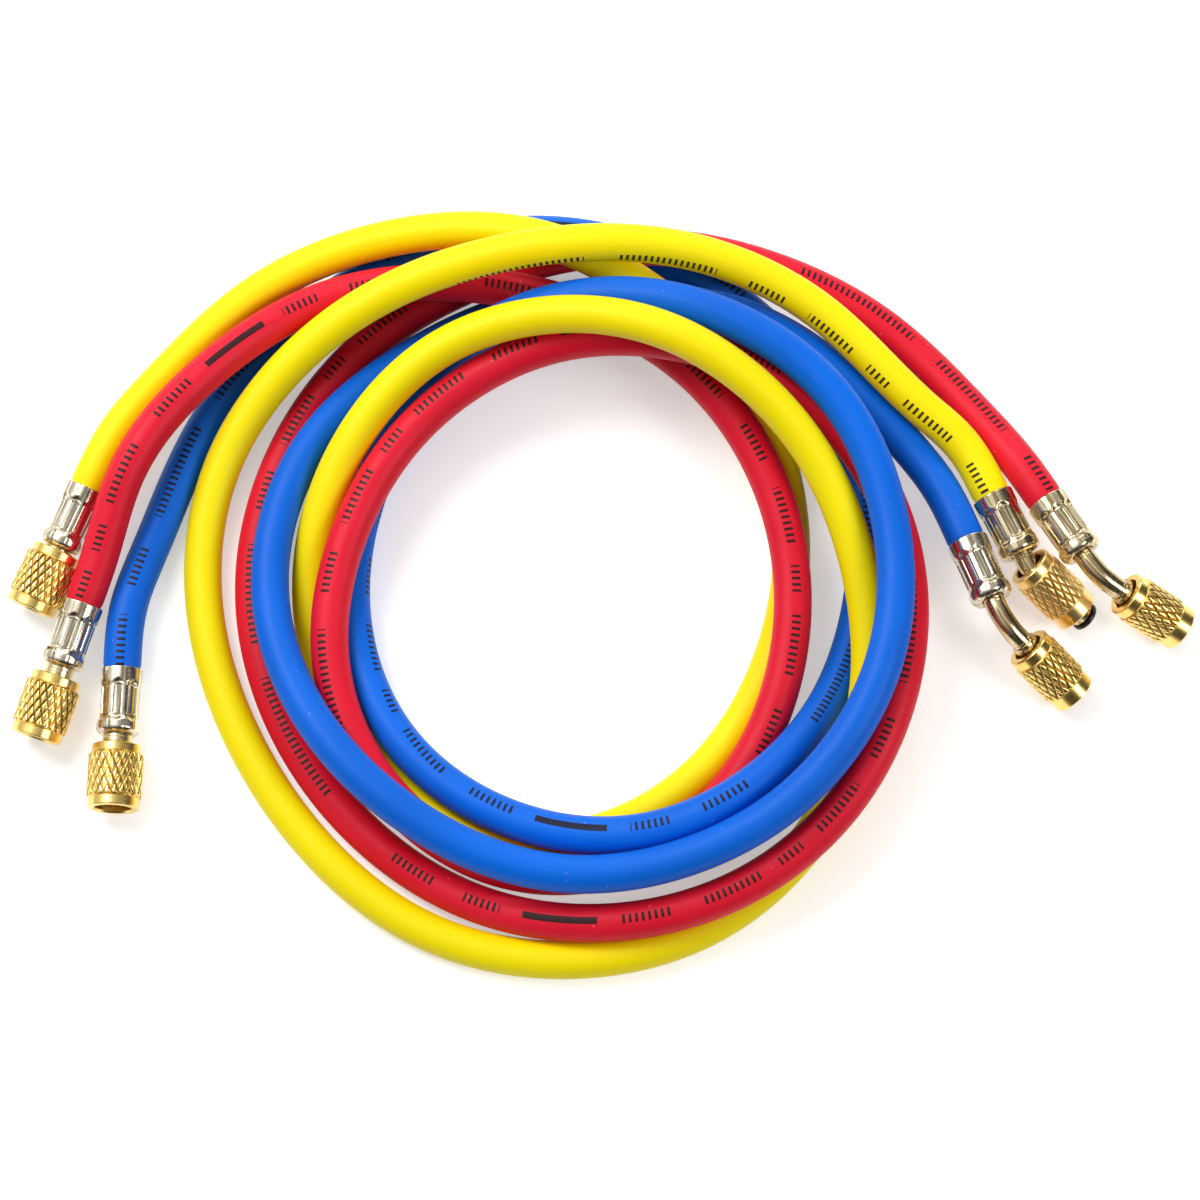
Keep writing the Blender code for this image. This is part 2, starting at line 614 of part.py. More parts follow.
def add_floor_cutter():
    """A block under the floor, which cuts the hoses flat where they lie on it."""
    shape = bmesh.new()
    size, depth = FLOOR_CUTTER_SIZE * MM, FLOOR_CUTTER_DEPTH * MM
    block = Matrix.Translation((0.0, 0.0, -depth / 2.0)) @ Matrix.Diagonal((size, size, depth, 1.0))
    bmesh.ops.create_cube(shape, size=1.0, matrix=block)
    mesh = bpy.data.meshes.new("floor_cutter")
    shape.to_mesh(mesh)
    shape.free()
    return add_object("floor_cutter", mesh, "black_rubber")


def add_hose(colour, line, left, right, floor_cutter):
    """A hose from inside one ferrule to inside the other: outside, bore and flats under it."""
    crimp = CRIMPED_DIAMETER / HOSE_DIAMETER
    stations = (HOSE_END, -SEAT_GAP, -SEAT_GAP - CRIMP_TAPER)
    enter = [left.frame(station).translation for station in stations]
    leave = [right.frame(station).translation for station in reversed(stations)]
    inside = [Vector(point) for point in line[1:-1]]
    radii = [crimp, crimp] + [1.0] * (len(inside) + 2) + [crimp, crimp]
    skin = tube_mesh(colour + "_hose", enter + inside + leave, radii, HOSE_DIAMETER / 2.0)
    hose = add_object(colour + "_hose", skin, colour + "_rubber")
    ends = [path.frame(HOSE_END + BORE_OVERRUN).translation for path in (left, right)]
    through = [ends[0]] + inside + [ends[1]]
    reach = HOSE_BORE / 2.0 / math.cos(math.pi / HOSE_SIDES)
    bore_mesh = tube_mesh(colour + "_bore_cutter", through, [1.0] * len(through), reach)
    cut(hose, add_object(colour + "_bore_cutter", bore_mesh, "black_rubber"))
    cut(hose, floor_cutter)


def build():
    """Make the whole heap of hoses."""
    for old in list(bpy.data.objects):
        bpy.data.objects.remove(old)
    straight_back = {colour: STRAIGHT_NUT_BACK for colour in ROUTES}
    straight_back["yellow"] -= SLID_STRAIGHT_SETBACK
    grip_end = STRAIGHT_NUT_LENGTH - STRAIGHT_NUT_FRONT_BAND[0]
    bent_rim = BENT_NUT_BACK + BENT_NUT_LENGTH - NUT_EDGE
    left, right = {}, {}
    for colour, route in ROUTES.items():
        left[colour] = Path(route[0], LEFT_STEPS[colour], *LEFT_ANGLES[colour])
        left[colour].stand(straight_back[colour] + grip_end, STRAIGHT_NUT_DIAMETER / 2.0)
        right[colour] = Path(route[-1], RIGHT_STEPS[colour], *RIGHT_ANGLES[colour])
        if colour == "yellow":
            right[colour].stand(BENT_TIP, GASKET_DIAMETER / 2.0, TIP_LIFT)
        else:
            right[colour].stand(bent_rim, BENT_NUT_FRONT_BAND[1] / 2.0)

    routes = {colour: plan_route(colour, left[colour], right[colour]) for colour in ROUTES}
    held = []
    for colour in ROUTES:
        path, other = left[colour], right[colour]
        ends = (path, 0.0), (path, -STRAIGHT_RUN), (other, -STRAIGHT_RUN), (other, 0.0)
        held.append([end.frame(station).translation.z for end, station in ends])
    plans = [routes[colour][0] for colour in ROUTES]
    heights = settle(plans, [routes[colour][1] for colour in ROUTES], held)
    lines = [np.column_stack([plan, height]) for plan, height in zip(plans, heights)]
    print(f"least gap between hose surfaces {least_gap(lines):.2f} mm")

    floor_cutter = add_floor_cutter()
    for colour, line in zip(ROUTES, lines):
        length = np.linalg.norm(np.diff(line, axis=0), axis=1).sum()
        top = line[:, 2].max() + HOSE_DIAMETER / 2.0
        print(f"{colour} hose {length:.0f} mm between ferrules, up to {top:.1f} mm high")
        add_hose(colour, line, left[colour], right[colour], floor_cutter)
        add_ferrule(colour + "_ferrule_straight", left[colour])
        add_ferrule(colour + "_ferrule_bent", right[colour])
        add_straight_stem(colour + "_stem_straight", left[colour])
        add_bent_stem(colour + "_stem_bent", right[colour])
        add_gasket(colour + "_gasket_straight", left[colour], STRAIGHT_NUT_BACK)
        add_gasket(colour + "_gasket_bent", right[colour], BENT_NUT_BACK)
        add_depressor(colour + "_depressor", right[colour])
        bent_back = right[colour].frame(BENT_NUT_BACK)
        if colour == "yellow":
            bent_back = leaned_nut_frame(right[colour])
        add_nut(
            colour + "_nut_straight", left[colour].frame(straight_back[colour]),
            STRAIGHT_NUT_LENGTH, STRAIGHT_NUT_DIAMETER, STRAIGHT_NUT_BACK_BAND, STRAIGHT_NUT_FRONT_BAND,
        )
        add_nut(
            colour + "_nut_bent", bent_back,
            BENT_NUT_LENGTH, BENT_NUT_DIAMETER, BENT_NUT_BACK_BAND, BENT_NUT_FRONT_BAND,
        )


build()
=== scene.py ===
"""Three refrigerant charging hoses, loosely coiled together, with crimped ends and knurled nuts.

Lengths are in millimetres until mesh points are made, and angles in degrees. A station is a
distance along a fitting from its ferrule's mouth, where the hose goes in.
"""

import math

import bpy
import numpy as np
from mathutils import Matrix, Vector


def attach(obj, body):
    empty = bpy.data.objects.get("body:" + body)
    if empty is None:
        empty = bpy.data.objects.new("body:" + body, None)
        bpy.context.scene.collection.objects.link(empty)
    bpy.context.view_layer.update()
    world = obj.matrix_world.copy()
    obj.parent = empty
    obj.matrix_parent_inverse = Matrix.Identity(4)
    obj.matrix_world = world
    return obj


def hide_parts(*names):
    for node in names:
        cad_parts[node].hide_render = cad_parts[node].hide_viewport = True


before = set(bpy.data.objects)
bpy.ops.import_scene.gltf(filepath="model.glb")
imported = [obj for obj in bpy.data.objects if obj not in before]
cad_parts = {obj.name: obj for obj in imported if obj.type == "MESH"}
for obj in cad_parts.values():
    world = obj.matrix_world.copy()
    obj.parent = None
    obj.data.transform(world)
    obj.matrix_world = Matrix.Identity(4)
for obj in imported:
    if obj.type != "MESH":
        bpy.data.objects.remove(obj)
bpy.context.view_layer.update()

MM = 0.001
FULL_TURN = 2.0 * math.pi

# -------------------- sizes shared with the frame
HOSE_DIAMETER = 11.4
CRIMPED_DIAMETER = 10.3
STRAIGHT_RUN = 12.0
FLAT_SHARE = 0.1
FERRULE_LENGTH = 20.0
FERRULE_END_WALL = 2.0
TUBE_DIAMETER = 6.4
STEM_BORE = 2.4
STRAIGHT_NECK_DIAMETER = 8.8
STRAIGHT_NECK_LENGTH = 3.2
BENT_NECK_LENGTH = 1.8
BEND_RADIUS = 16.0
BEND_ANGLE = 45.0
SLEEVE_DIAMETER = 7.8
SLEEVE_START = 1.6
SLEEVE_SHOWN = 2.1
COLLAR_DIAMETER = 10.1
COLLAR_LENGTH = 1.6
NOSE_LENGTH = 5.1
SPIGOT_DIAMETER = 5.6
GASKET_DIAMETER = 9.0
GASKET_THICKNESS = 1.3
POCKET_DIAMETER = 4.4
POCKET_DEPTH = 1.8
NUT_HOLE_DIAMETER = 9.6
NUT_BORE_DIAMETER = 10.9
NUT_LIP = 3.0
STRAIGHT_NUT_LENGTH = 19.4
BENT_NUT_LENGTH = 21.4
BENT_NUT_RIM_DIAMETER = 13.9
NUT_EDGE = 0.4
STRAIGHT_NUT_DIAMETER = 16.6
SLID_STRAIGHT_SETBACK = 2.4
SLID_BENT_SETBACK = 3.9
SLID_BENT_LEAN_ANGLE = 10.8
SLID_BENT_CROSSING = 7.85
SEAT_GAP = 0.3
TIP_LIFT = 0.8
PLAN_CENTRE = (0.07, 5.54)

# How the hoses pile up
LOOP_POINTS = 60
PLAN_CLEARANCE = 0.6
PASS_CLEARANCE = 0.75
SAG_LENGTH = 58.5
HOSE_STIFFNESS = SAG_LENGTH**3
CONTACT_STIFFNESS = 4e4
CONTACT_STEPS = 2
NEIGHBOUR_REACH = 5.0
FIRST_HEIGHT = 20.0
SETTLE_ROUNDS = 80
SETTLED = 1e-3

FERRULE_WALL_START = FERRULE_LENGTH - FERRULE_END_WALL
HOSE_END = FERRULE_WALL_START - SEAT_GAP
SHOULDER = FERRULE_WALL_START + SEAT_GAP
STRAIGHT_NUT_BACK = FERRULE_LENGTH + STRAIGHT_NECK_LENGTH
BEND_START = FERRULE_LENGTH + BENT_NECK_LENGTH
BEND_END = BEND_START + BEND_RADIUS * math.radians(BEND_ANGLE)
BENT_NUT_BACK = BEND_END + SLEEVE_START + SLEEVE_SHOWN
COLLAR_OFFSET = NUT_LIP + SEAT_GAP
NOSE_OFFSET = COLLAR_OFFSET + COLLAR_LENGTH
NOSE_END_OFFSET = NOSE_OFFSET + NOSE_LENGTH
GASKET_OFFSET = NOSE_END_OFFSET + SEAT_GAP
TIP_OFFSET = GASKET_OFFSET + GASKET_THICKNESS
BENT_TIP = BENT_NUT_BACK + TIP_OFFSET
FLOOR_HEIGHT = HOSE_DIAMETER * (0.5 - FLAT_SHARE)

# -------------------- details of the looks
BARB_COUNT = 3
BARB_PITCH = 4.5
BARB_DIAMETER = 4.2
TAIL_DIAMETER = 3.8
TAIL_START = 1.5
NECK_MARKS = (0.9, 2.1)
TUBE_MARKS = (0.7, 1.5)
BEND_MARKS = (0.8,)
SLEEVE_MARKS = (1.2,)
MARK_HALF_WIDTH = 0.12
FERRULE_DIAMETER = 12.4
FERRULE_BULGE_DIAMETER = 12.7
FERRULE_END_DIAMETER = 10.4
CRIMP_START = 4.6
CRIMP_FADE = 1.5
CRIMP_BLEND = 0.004
SCALLOP_SETBACK = 0.7
SCALLOP_DEPTH = 0.55
CRIMP_ACROSS_FLATS = 11.0
CRIMP_FLATS = 8
CRIMP_TAPER = 0.8
STRAIGHT_NUT_BACK_BAND = (2.8, 14.7)
STRAIGHT_NUT_FRONT_BAND = (3.1, 15.3)
BENT_NUT_DIAMETER = 15.0
BENT_NUT_BACK_BAND = (3.3, 13.9)
BENT_NUT_FRONT_BAND = (4.7, 13.9)
DEPRESSOR_THICKNESS = 0.8
DEPRESSOR_PIN_DIAMETER = 1.2
DEPRESSOR_PIN_LENGTH = 1.2

RING_STEP = 2.8
HOSE_SIDES = 40
MOUTH_ROUND = 0.3
MOUTH_STEP = 0.1
MOUTH_DEPTH = 1.2
MOUTH_FLARE = 0.12
MOUTH_INSIDE_DIAMETER = 11.6
CRIMP_RIDGE_DIAMETER = 11.75
PANEL_START = 5.4
PANEL_END = 14.6
PANEL_WIDTH = 3.3
PANEL_ROUND = 0.7
PANEL_DEPTH = 0.16
FRAME_HEIGHT = 0.13
FRAME_WIDTH = 0.24
BULGE_START = 16.4
BULGE_FADE_START = BULGE_START - 1.4
BULGE_FADE = 1.9
BULGE_SCALLOP = 0.25
BULGE_FLATNESS = 1.92
BULGE_END_SHARE = 0.5
BULGE_END_CURVE = 2.4
END_CHAMFER = 0.4
FERRULE_STEP = 0.16
FERRULE_FLAT_COLUMNS = 20
EDGE = 0.15
SLEEVE_ROOT = 0.05
SLEEVE_RISE = 0.25
NOSE_CHAMFER = 0.1
TOOL_MARK_DEPTH = 0.07
BEND_STEPS = 28
STEM_SIDES = 72
GASKET_ROUND = 0.45
GASKET_ROUND_STEPS = 5
GASKET_SIDES = 64
GASKET_EDGE = 0.2
DEPRESSOR_SIDES = 32
PIN_FILLET = 0.1
PIN_END = ((0.3, 0.0), (0.1, 0.15), (0.0, 0.35))
KNURL_PERIOD = 5.06
KNURL_COLUMNS = 12
KNURL_DEPTH = 0.42
KNURL_GROOVE_SHARE = 0.2
KNURL_END_SLOPE = 2.4
KNURL_END_SETBACK = 0.14
KNURL_VALLEY_SHARE = 0.72
KNURL_END_CLEARANCE = 0.05
STEP_DEPTH = 0.08
STEP_WIDTH = 0.25
STEP_MIDDLE = 0.12
HOLE_CHAMFER = 0.25
BACK_CORNER = ((0.0, -0.1), (0.12, 0.16))
FRONT_CORNER = 0.12
BORE_RELIEF = 0.1
LIP_CHAMFER = 0.2
LOW_START = 0.45
LOW_SPAN = 0.5
STRAIGHT_NUT_STARTS = 22
BENT_NUT_STARTS = 20
MOUTH_CHAMFER = 0.5
THREAD_PITCH = 1.27
THREAD_DEPTH = 0.45
THREAD_SIDES = 60
THREAD_START = 1.5
THREAD_SETBACK = 0.2
THREAD_RISE = 0.02
THREAD_BACKING = 0.3

# Diameter, length, back band, front band (each a length and a diameter) and knurl starts
STRAIGHT_NUT = (
    STRAIGHT_NUT_DIAMETER, STRAIGHT_NUT_LENGTH,
    STRAIGHT_NUT_BACK_BAND, STRAIGHT_NUT_FRONT_BAND, STRAIGHT_NUT_STARTS,
)
BENT_NUT = (BENT_NUT_DIAMETER, BENT_NUT_LENGTH, BENT_NUT_BACK_BAND, BENT_NUT_FRONT_BAND, BENT_NUT_STARTS)

# Ink marks, generic and without lettering: a plain bar, then runs of upright ticks
INK = (0.008, 0.008, 0.01)
INK_REPEAT = 297.0
INK_RUNS = ((29.0, 40.0), (50.0, 65.0), (92.0, 133.0), (143.0, 175.0), (185.0, 198.0), (207.0, 224.0),
            (231.0, 239.0), (246.0, 265.0), (274.0, 290.0))
INK_BAR_LENGTH = 22.0
INK_BAR_WIDTH = 2.1
INK_TICK_PITCH = 1.9
INK_TICK_WIDTH = 0.85
INK_TICK_HEIGHT = 2.7
INK_START = {"yellow": 285.0, "red": 198.0, "blue": -56.0}
INK_WAY = {"yellow": 1.0, "red": 1.0, "blue": -1.0}
INK_TURNS = {
    "yellow": [(0.0, 170.0), (0.8, 150.0), (0.9, 70.0), (1.0, 20.0)],
    "red": [(0.0, -10.0), (0.15, 10.0), (0.3, -30.0), (0.6, 0.0), (1.0, -20.0)],
    "blue": [(0.0, 0.0), (0.2, -20.0), (0.38, 20.0), (0.5, 150.0), (1.0, 190.0)],
}

# Camera and lamps, in metres
TARGET = Vector((-PLAN_CENTRE[0], -PLAN_CENTRE[1], 12.0)) * MM
ELEVATION = 75.0
DISTANCE = 1.3
FRAME_WIDTH_AT_TARGET = 0.36
SENSOR = 36.0
FLOOR_REACH = 14.0
FLOOR_GLOW = 0.42
SKY_STRENGTH = 0.72
SKY_TOWARD = (-0.48, 0.36, 0.8)
SKY_STOPS = ((0.35, 0.06), (0.8, 1.0))
LAMPS = {
    "key": ((-0.75, 0.55, 1.15), (0.55, 0.9), 12.5),
    "fill": ((0.95, -0.35, 0.95), (0.5, 0.7), 7.0),
    "back": ((0.2, 1.1, 0.6), (1.2, 0.25), 4.5),
}

# From a route's first point to the left ferrule's mouth, and from its last to the right one's
LEFT_STEPS = {
    "yellow": (-20.6, -33.0),
    "red": (-11.4, -35.4),
    "blue": (-7.2, -38.0),
}
RIGHT_STEPS = {
    "yellow": (19.9, -26.0),
    "red": (19.2, -28.1),
    "blue": (16.6, -30.9),
}

# How a fitting lies: heading below +X, rise of its axis and, if it is bent, roll of the bend
LEFT_ANGLES = {
    "yellow": (115.0, -8.0),
    "red": (108.8, -7.0),
    "blue": (92.0, 0.0),
}
RIGHT_ANGLES = {
    "yellow": (64.1, -1.6, 46.5),
    "red": (58.6, 6.3, 47.2),
    "blue": (68.6, 7.6, 52.4),
}

# Routes from the left end to the right end: X, Y and the rank in the pile, where more is higher
ROUTES = {
    "yellow": [
        (-134.0, 67.5, 1.0), (-104.5, 97.5, 1.0), (-66.5, 113.0, 1.0), (-24.0, 112.0, 1.0),
        (15.5, 93.5, 1.0), (44.5, 65.5, 1.0), (57.5, 27.0, 1.0), (51.5, -17.0, 1.0),
        (28.5, -53.0, 1.0), (-8.5, -71.5, 1.0), (-48.0, -65.0, 1.0), (-77.0, -34.5, 1.0),
        (-87.0, 7.5, 1.2), (-76.0, 44.5, 3.7), (-47.5, 73.0, 5.9), (-7.5, 80.0, 6.0),
        (32.0, 67.5, 6.0), (61.5, 42.0, 3.0), (77.5, 5.5, 1.2), (78.5, -36.5, 1.2),
        (61.5, -73.0, 1.2), (30.0, -99.0, 1.5), (-10.5, -108.0, 1.5), (-51.0, -99.5, 1.5),
        (-83.5, -75.0, 1.5), (-107.0, -40.5, 1.6), (-119.5, 1.5, 3.9), (-114.0, 44.0, 7.6),
        (-90.0, 76.0, 8.0), (-54.0, 96.0, 8.0), (-12.5, 104.0, 8.0), (29.5, 102.5, 8.0),
        (67.0, 86.0, 8.0), (98.0, 57.0, 8.0),
    ],
    "red": [
        (-143.5, 34.0, 2.0), (-119.0, 69.0, 2.0), (-85.0, 93.0, 2.0), (-43.5, 98.5, 2.0),
        (-2.0, 88.0, 2.0), (33.0, 63.5, 2.0), (53.5, 27.5, 2.0), (56.5, -15.5, 2.0),
        (41.0, -54.5, 2.0), (9.5, -79.5, 2.0), (-30.5, -81.5, 2.0), (-64.0, -58.5, 2.2),
        (-80.0, -21.5, 3.3), (-75.0, 18.5, 4.5), (-51.5, 55.0, 4.5), (-14.0, 74.5, 3.4),
        (27.0, 73.0, 3.0), (63.0, 58.0, 3.0), (86.5, 26.0, 3.0), (91.0, -19.0, 3.0),
        (76.5, -58.0, 3.0), (47.5, -85.5, 2.7), (9.0, -98.0, 2.0), (-31.5, -93.5, 2.0),
        (-67.5, -72.0, 2.0), (-93.5, -38.0, 2.0), (-104.5, 3.0, 2.0), (-97.0, 45.0, 2.0),
        (-73.0, 81.0, 0.7), (-36.5, 103.5, 0.6), (5.0, 110.5, 0.6), (46.5, 106.0, 0.6),
        (84.5, 89.0, 0.6), (115.0, 57.5, 0.6),
    ],
    "blue": [
        (-136.0, 17.3, 0.0), (-119.5, 58.0, 0.0), (-90.5, 91.5, 0.0), (-52.5, 113.5, 0.0),
        (-10.0, 118.5, 0.0), (31.5, 104.0, 0.0), (63.5, 73.0, 0.0), (79.5, 32.0, 0.0),
        (76.0, -11.0, 0.0), (52.5, -52.5, 3.0), (14.5, -72.5, 3.0), (-26.0, -68.0, 3.0),
        (-59.5, -43.0, 2.1), (-74.5, -4.0, 1.8), (-68.0, 41.5, 1.8), (-43.0, 77.0, 3.3),
        (-4.5, 88.5, 4.0), (37.0, 79.5, 4.0), (70.0, 55.5, 4.0), (86.0, 17.0, 4.0),
        (82.5, -27.5, 4.0), (60.0, -61.5, 4.0), (25.0, -81.5, 4.0), (-15.0, -85.5, 4.0),
        (-54.0, -70.5, 4.0), (-83.5, -41.5, 3.0), (-98.5, 0.5, 3.0), (-90.0, 43.0, 3.0),
        (-59.5, 76.5, 0.9), (-19.5, 95.5, 0.8), (23.0, 95.0, 0.8), (62.5, 77.5, 0.8),
        (93.5, 47.5, 0.8),
    ],
}


class Path:
    """Centre line of a fitting, straight from the ferrule's mouth and then bent, if it has a bend."""

    def __init__(self, start, step, heading, rise, roll=None):
        x, y = np.array(start[:2]) + step - PLAN_CENTRE
        self.mouth = Vector((x, y, 0.0))
        heading, rise = math.radians(heading), math.radians(rise)
        ahead = Vector((math.cos(heading), -math.sin(heading), 0.0))
        self.along = math.cos(rise) * ahead + Vector((0.0, 0.0, math.sin(rise)))
        level = Vector((math.sin(heading), math.cos(heading), 0.0))
        down = level.cross(self.along).normalized()
        down = down if down.z < 0 else -down
        turn = math.radians(roll or 0.0)
        self.inner = (math.cos(turn) * level + math.sin(turn) * down).normalized()
        self.bent = roll is not None

    def frame(self, station):
        """Matrix at a station: +Z along the fitting, +X towards the inside of the bend."""
        before, bend, after = station, 0.0, 0.0
        if self.bent:
            before = min(station, BEND_START)
            bend = min(max(station - BEND_START, 0.0), BEND_END - BEND_START) / BEND_RADIUS
            after = max(station - BEND_END, 0.0)
        along = math.cos(bend) * self.along + math.sin(bend) * self.inner
        inner = math.cos(bend) * self.inner - math.sin(bend) * self.along
        place = self.mouth + self.along * (before + BEND_RADIUS * math.sin(bend))
        place += self.inner * BEND_RADIUS * (1.0 - math.cos(bend)) + along * after
        return framed(place, along, inner)

    def stand(self, station, radius, lift=0.0):
        """Raise the fitting until a rim of this radius at this station clears the floor by the lift."""
        rim = self.frame(station)
        lowest = rim.translation.z - radius * math.hypot(rim[2][0], rim[2][1])
        self.mouth.z += lift - lowest


def framed(place, along, inner):
    """Matrix at a place whose +Z axis is along and whose +X axis is inner."""
    axes = Matrix((inner, along.cross(inner), along)).transposed().to_4x4()
    return Matrix.Translation(place) @ axes


def leaned_nut_frame(path):
    """Frame of the leaning nut's back face: its axis crosses the stem's axis and leans off it."""
    crossing = BEND_END + SLID_BENT_CROSSING
    lean = path.frame(crossing) @ Matrix.Rotation(math.radians(-SLID_BENT_LEAN_ANGLE), 4, "Y")
    back = BENT_TIP - SLID_BENT_SETBACK - BENT_NUT_LENGTH - crossing
    return lean @ Matrix.Translation((0.0, 0.0, back))


def spline(knots, values, start_slope, end_slope):
    """Smooth curve through the values, with given slopes at its ends, as a function of the knots."""
    spans = np.diff(knots)[:, None]
    chords = np.diff(values, axis=0) / spans
    count = len(knots)
    system = np.eye(count)
    slopes = np.zeros_like(values)
    slopes[0], slopes[-1] = start_slope, end_slope
    for row in range(1, count - 1):
        before, after = spans[row - 1, 0], spans[row, 0]
        system[row, row - 1 : row + 2] = after, 2.0 * (before + after), before
        slopes[row] = 3.0 * (after * chords[row - 1] + before * chords[row])
    slopes = np.linalg.solve(system, slopes)

    def at(places):
        span = np.clip(np.searchsorted(knots, places, side="right") - 1, 0, count - 2)
        width = spans[span]
        share = (places - knots[span])[:, None] / width
        start = (1.0 + 2.0 * share) * values[span] + share * width * slopes[span]
        end = (3.0 - 2.0 * share) * values[span + 1] - (1.0 - share) * width * slopes[span + 1]
        return (1.0 - share) ** 2 * start + share**2 * end

    return at


def plan_route(colour, left, right):
    """Plan points of a hose from one ferrule's mouth to the other's, and its rank along the way."""
    route = np.array(ROUTES[colour])
    mouths = [np.array(path.mouth[:2]) for path in (left, right)]
    outward = [np.array(path.along[:2]) for path in (left, right)]
    runs = [mouth - STRAIGHT_RUN * out for mouth, out in zip(mouths, outward)]
    through = np.vstack([runs[0], route[:, :2] - PLAN_CENTRE, runs[1]])
    knots = np.r_[0.0, np.cumsum(np.linalg.norm(np.diff(through, axis=0), axis=1))]
    slopes = [out / np.linalg.norm(out) for out in outward]
    curve = spline(knots, through, -slopes[0], slopes[1])
    turning = np.unwrap(np.arctan2(*np.diff(through, axis=0).T[::-1]))
    count = round(LOOP_POINTS * abs(turning[-1] - turning[0]) / FULL_TURN)
    places = np.linspace(0.0, knots[-1], count + 1)
    ranks = np.r_[route[0, 2], route[:, 2], route[-1, 2]]
    plan = np.vstack([mouths[0], curve(places), mouths[1]])
    return plan, lambda share: np.interp(share, knots / knots[-1], ranks)


def crossings(near, rank):
    """Pairs of near places as (over, under): each run of near places is decided once, by its ranks."""
    label = np.zeros(near.shape, int)
    leads = [0.0]
    for seed in zip(*np.nonzero(near)):
        waiting, lead = [seed] if not label[seed] else [], 0.0
        while waiting:
            one, other = waiting.pop()
            inside = one < len(near) and other < len(near) and near[one, other] and not label[one, other]
            if inside:
                label[one, other] = len(leads)
                lead += rank[one] - rank[other]
                waiting += [(one + i, other + j) for i in (-1, 0, 1) for j in (-1, 0, 1)]
        leads.append(lead)
    one, other = np.nonzero(near)
    wins = np.array(leads)[label[one, other]] > 0.0
    return np.where(wins, one, other), np.where(wins, other, one)


def settle(plans, ranks, held):
    """Heights of the plan points: the hoses sag as stiff beams until they rest on what they cross."""
    first = np.cumsum([0] + [len(plan) for plan in plans])
    count = first[-1]
    stiffness, weight = 1e-3 * np.eye(count), np.zeros(count)
    places, owner, share, rank, hose, along = [], [], [], [], [], []
    for index, plan in enumerate(plans):
        spans = np.linalg.norm(np.diff(plan, axis=0), axis=1)
        starts = np.r_[0.0, np.cumsum(spans)]
        for row in range(1, len(plan) - 1):
            before, after = spans[row - 1 : row + 1]
            bend = np.array([after, -(before + after), before]) * 2.0 / (before * after * (before + after))
            block = slice(first[index] + row - 1, first[index] + row + 2)
            stiffness[block, block] += HOSE_STIFFNESS * (before + after) / 2.0 * np.outer(bend, bend)
        weight[first[index] : first[index + 1] - 1] += spans / 2.0
        weight[first[index] + 1 : first[index + 1]] += spans / 2.0
        steps = np.tile(np.arange(CONTACT_STEPS) / CONTACT_STEPS, len(spans))
        chord = np.repeat(np.arange(len(spans)), CONTACT_STEPS)
        places.append(plan[chord] * (1.0 - steps[:, None]) + plan[chord + 1] * steps[:, None])
        owner.append(first[index] + chord)
        share.append(steps)
        along.append(starts[chord] + steps * spans[chord])
        rank.append(ranks[index](along[-1] / starts[-1]))
        hose.append(np.full(len(chord), index))
    places, owner, share, rank, hose, along = map(np.concatenate, (places, owner, share, rank, hose, along))
    apart = np.linalg.norm(places[:, None] - places[None], axis=2)
    same = (hose[:, None] == hose) & (abs(along[:, None] - along) < NEIGHBOUR_REACH * HOSE_DIAMETER)
    over, under = crossings(np.triu((apart < HOSE_DIAMETER + PLAN_CLEARANCE) & ~same), rank)
    rows = np.arange(len(over))
    contact = np.vstack([np.zeros((len(over), count)), np.eye(count)])
    for who, sign in ((over, 1.0), (under, -1.0)):
        np.add.at(contact, (rows, owner[who]), sign * (1.0 - share[who]))
        np.add.at(contact, (rows, owner[who] + 1), sign * share[who])
    lift = np.sqrt((HOSE_DIAMETER + PASS_CLEARANCE) ** 2 - apart[over, under] ** 2)
    needed = np.r_[lift, np.full(count, FLOOR_HEIGHT)]
    ends = np.concatenate([[a, a + 1, b - 2, b - 1] for a, b in zip(first, first[1:])])
    free = np.setdiff1d(np.arange(count), ends)
    fixed = np.concatenate(held)
    needed = needed - contact[:, ends] @ fixed
    load = weight[free] + stiffness[np.ix_(free, ends)] @ fixed
    contact, stiffness = contact[:, free], stiffness[np.ix_(free, free)]

    def energy(height):
        short = np.maximum(0.0, needed - contact @ height)
        return 0.5 * height @ stiffness @ height + load @ height + 0.5 * CONTACT_STIFFNESS * short @ short

    height = np.full(len(free), FIRST_HEIGHT)
    for _ in range(SETTLE_ROUNDS):
        pressed = needed - contact @ height > 0.0
        touch = contact[pressed]
        pull = CONTACT_STIFFNESS * touch.T @ needed[pressed] - load
        goal = np.linalg.solve(stiffness + CONTACT_STIFFNESS * touch.T @ touch, pull)
        step = 1.0
        while step > SETTLED and energy(height + step * (goal - height)) > energy(height):
            step /= 2.0
        move = step * (goal - height)
        height = height + move
        if abs(move).max() < SETTLED:
            break
    settled = np.zeros(count)
    settled[free], settled[ends] = height, fixed
    return [settled[a:b] for a, b in zip(first, first[1:])]



# -------------------- meshes
def piece(name, mesh, materials, place=None, smooth=30.0):
    """Link a mesh into the scene as a piece, with its edges sharper than an angle kept sharp."""
    for finish in materials:
        mesh.materials.append(finish)
    mesh.shade_smooth()
    mesh.set_sharp_from_angle(angle=math.radians(smooth))
    made = bpy.data.objects.new(name, mesh)
    if place:
        made.matrix_world = place
    bpy.context.scene.collection.objects.link(made)
    return made


def scaled(place):
    """The same place with its millimetres turned into metres."""
    moved = place.copy()
    moved.translation = place.translation * MM
    return moved


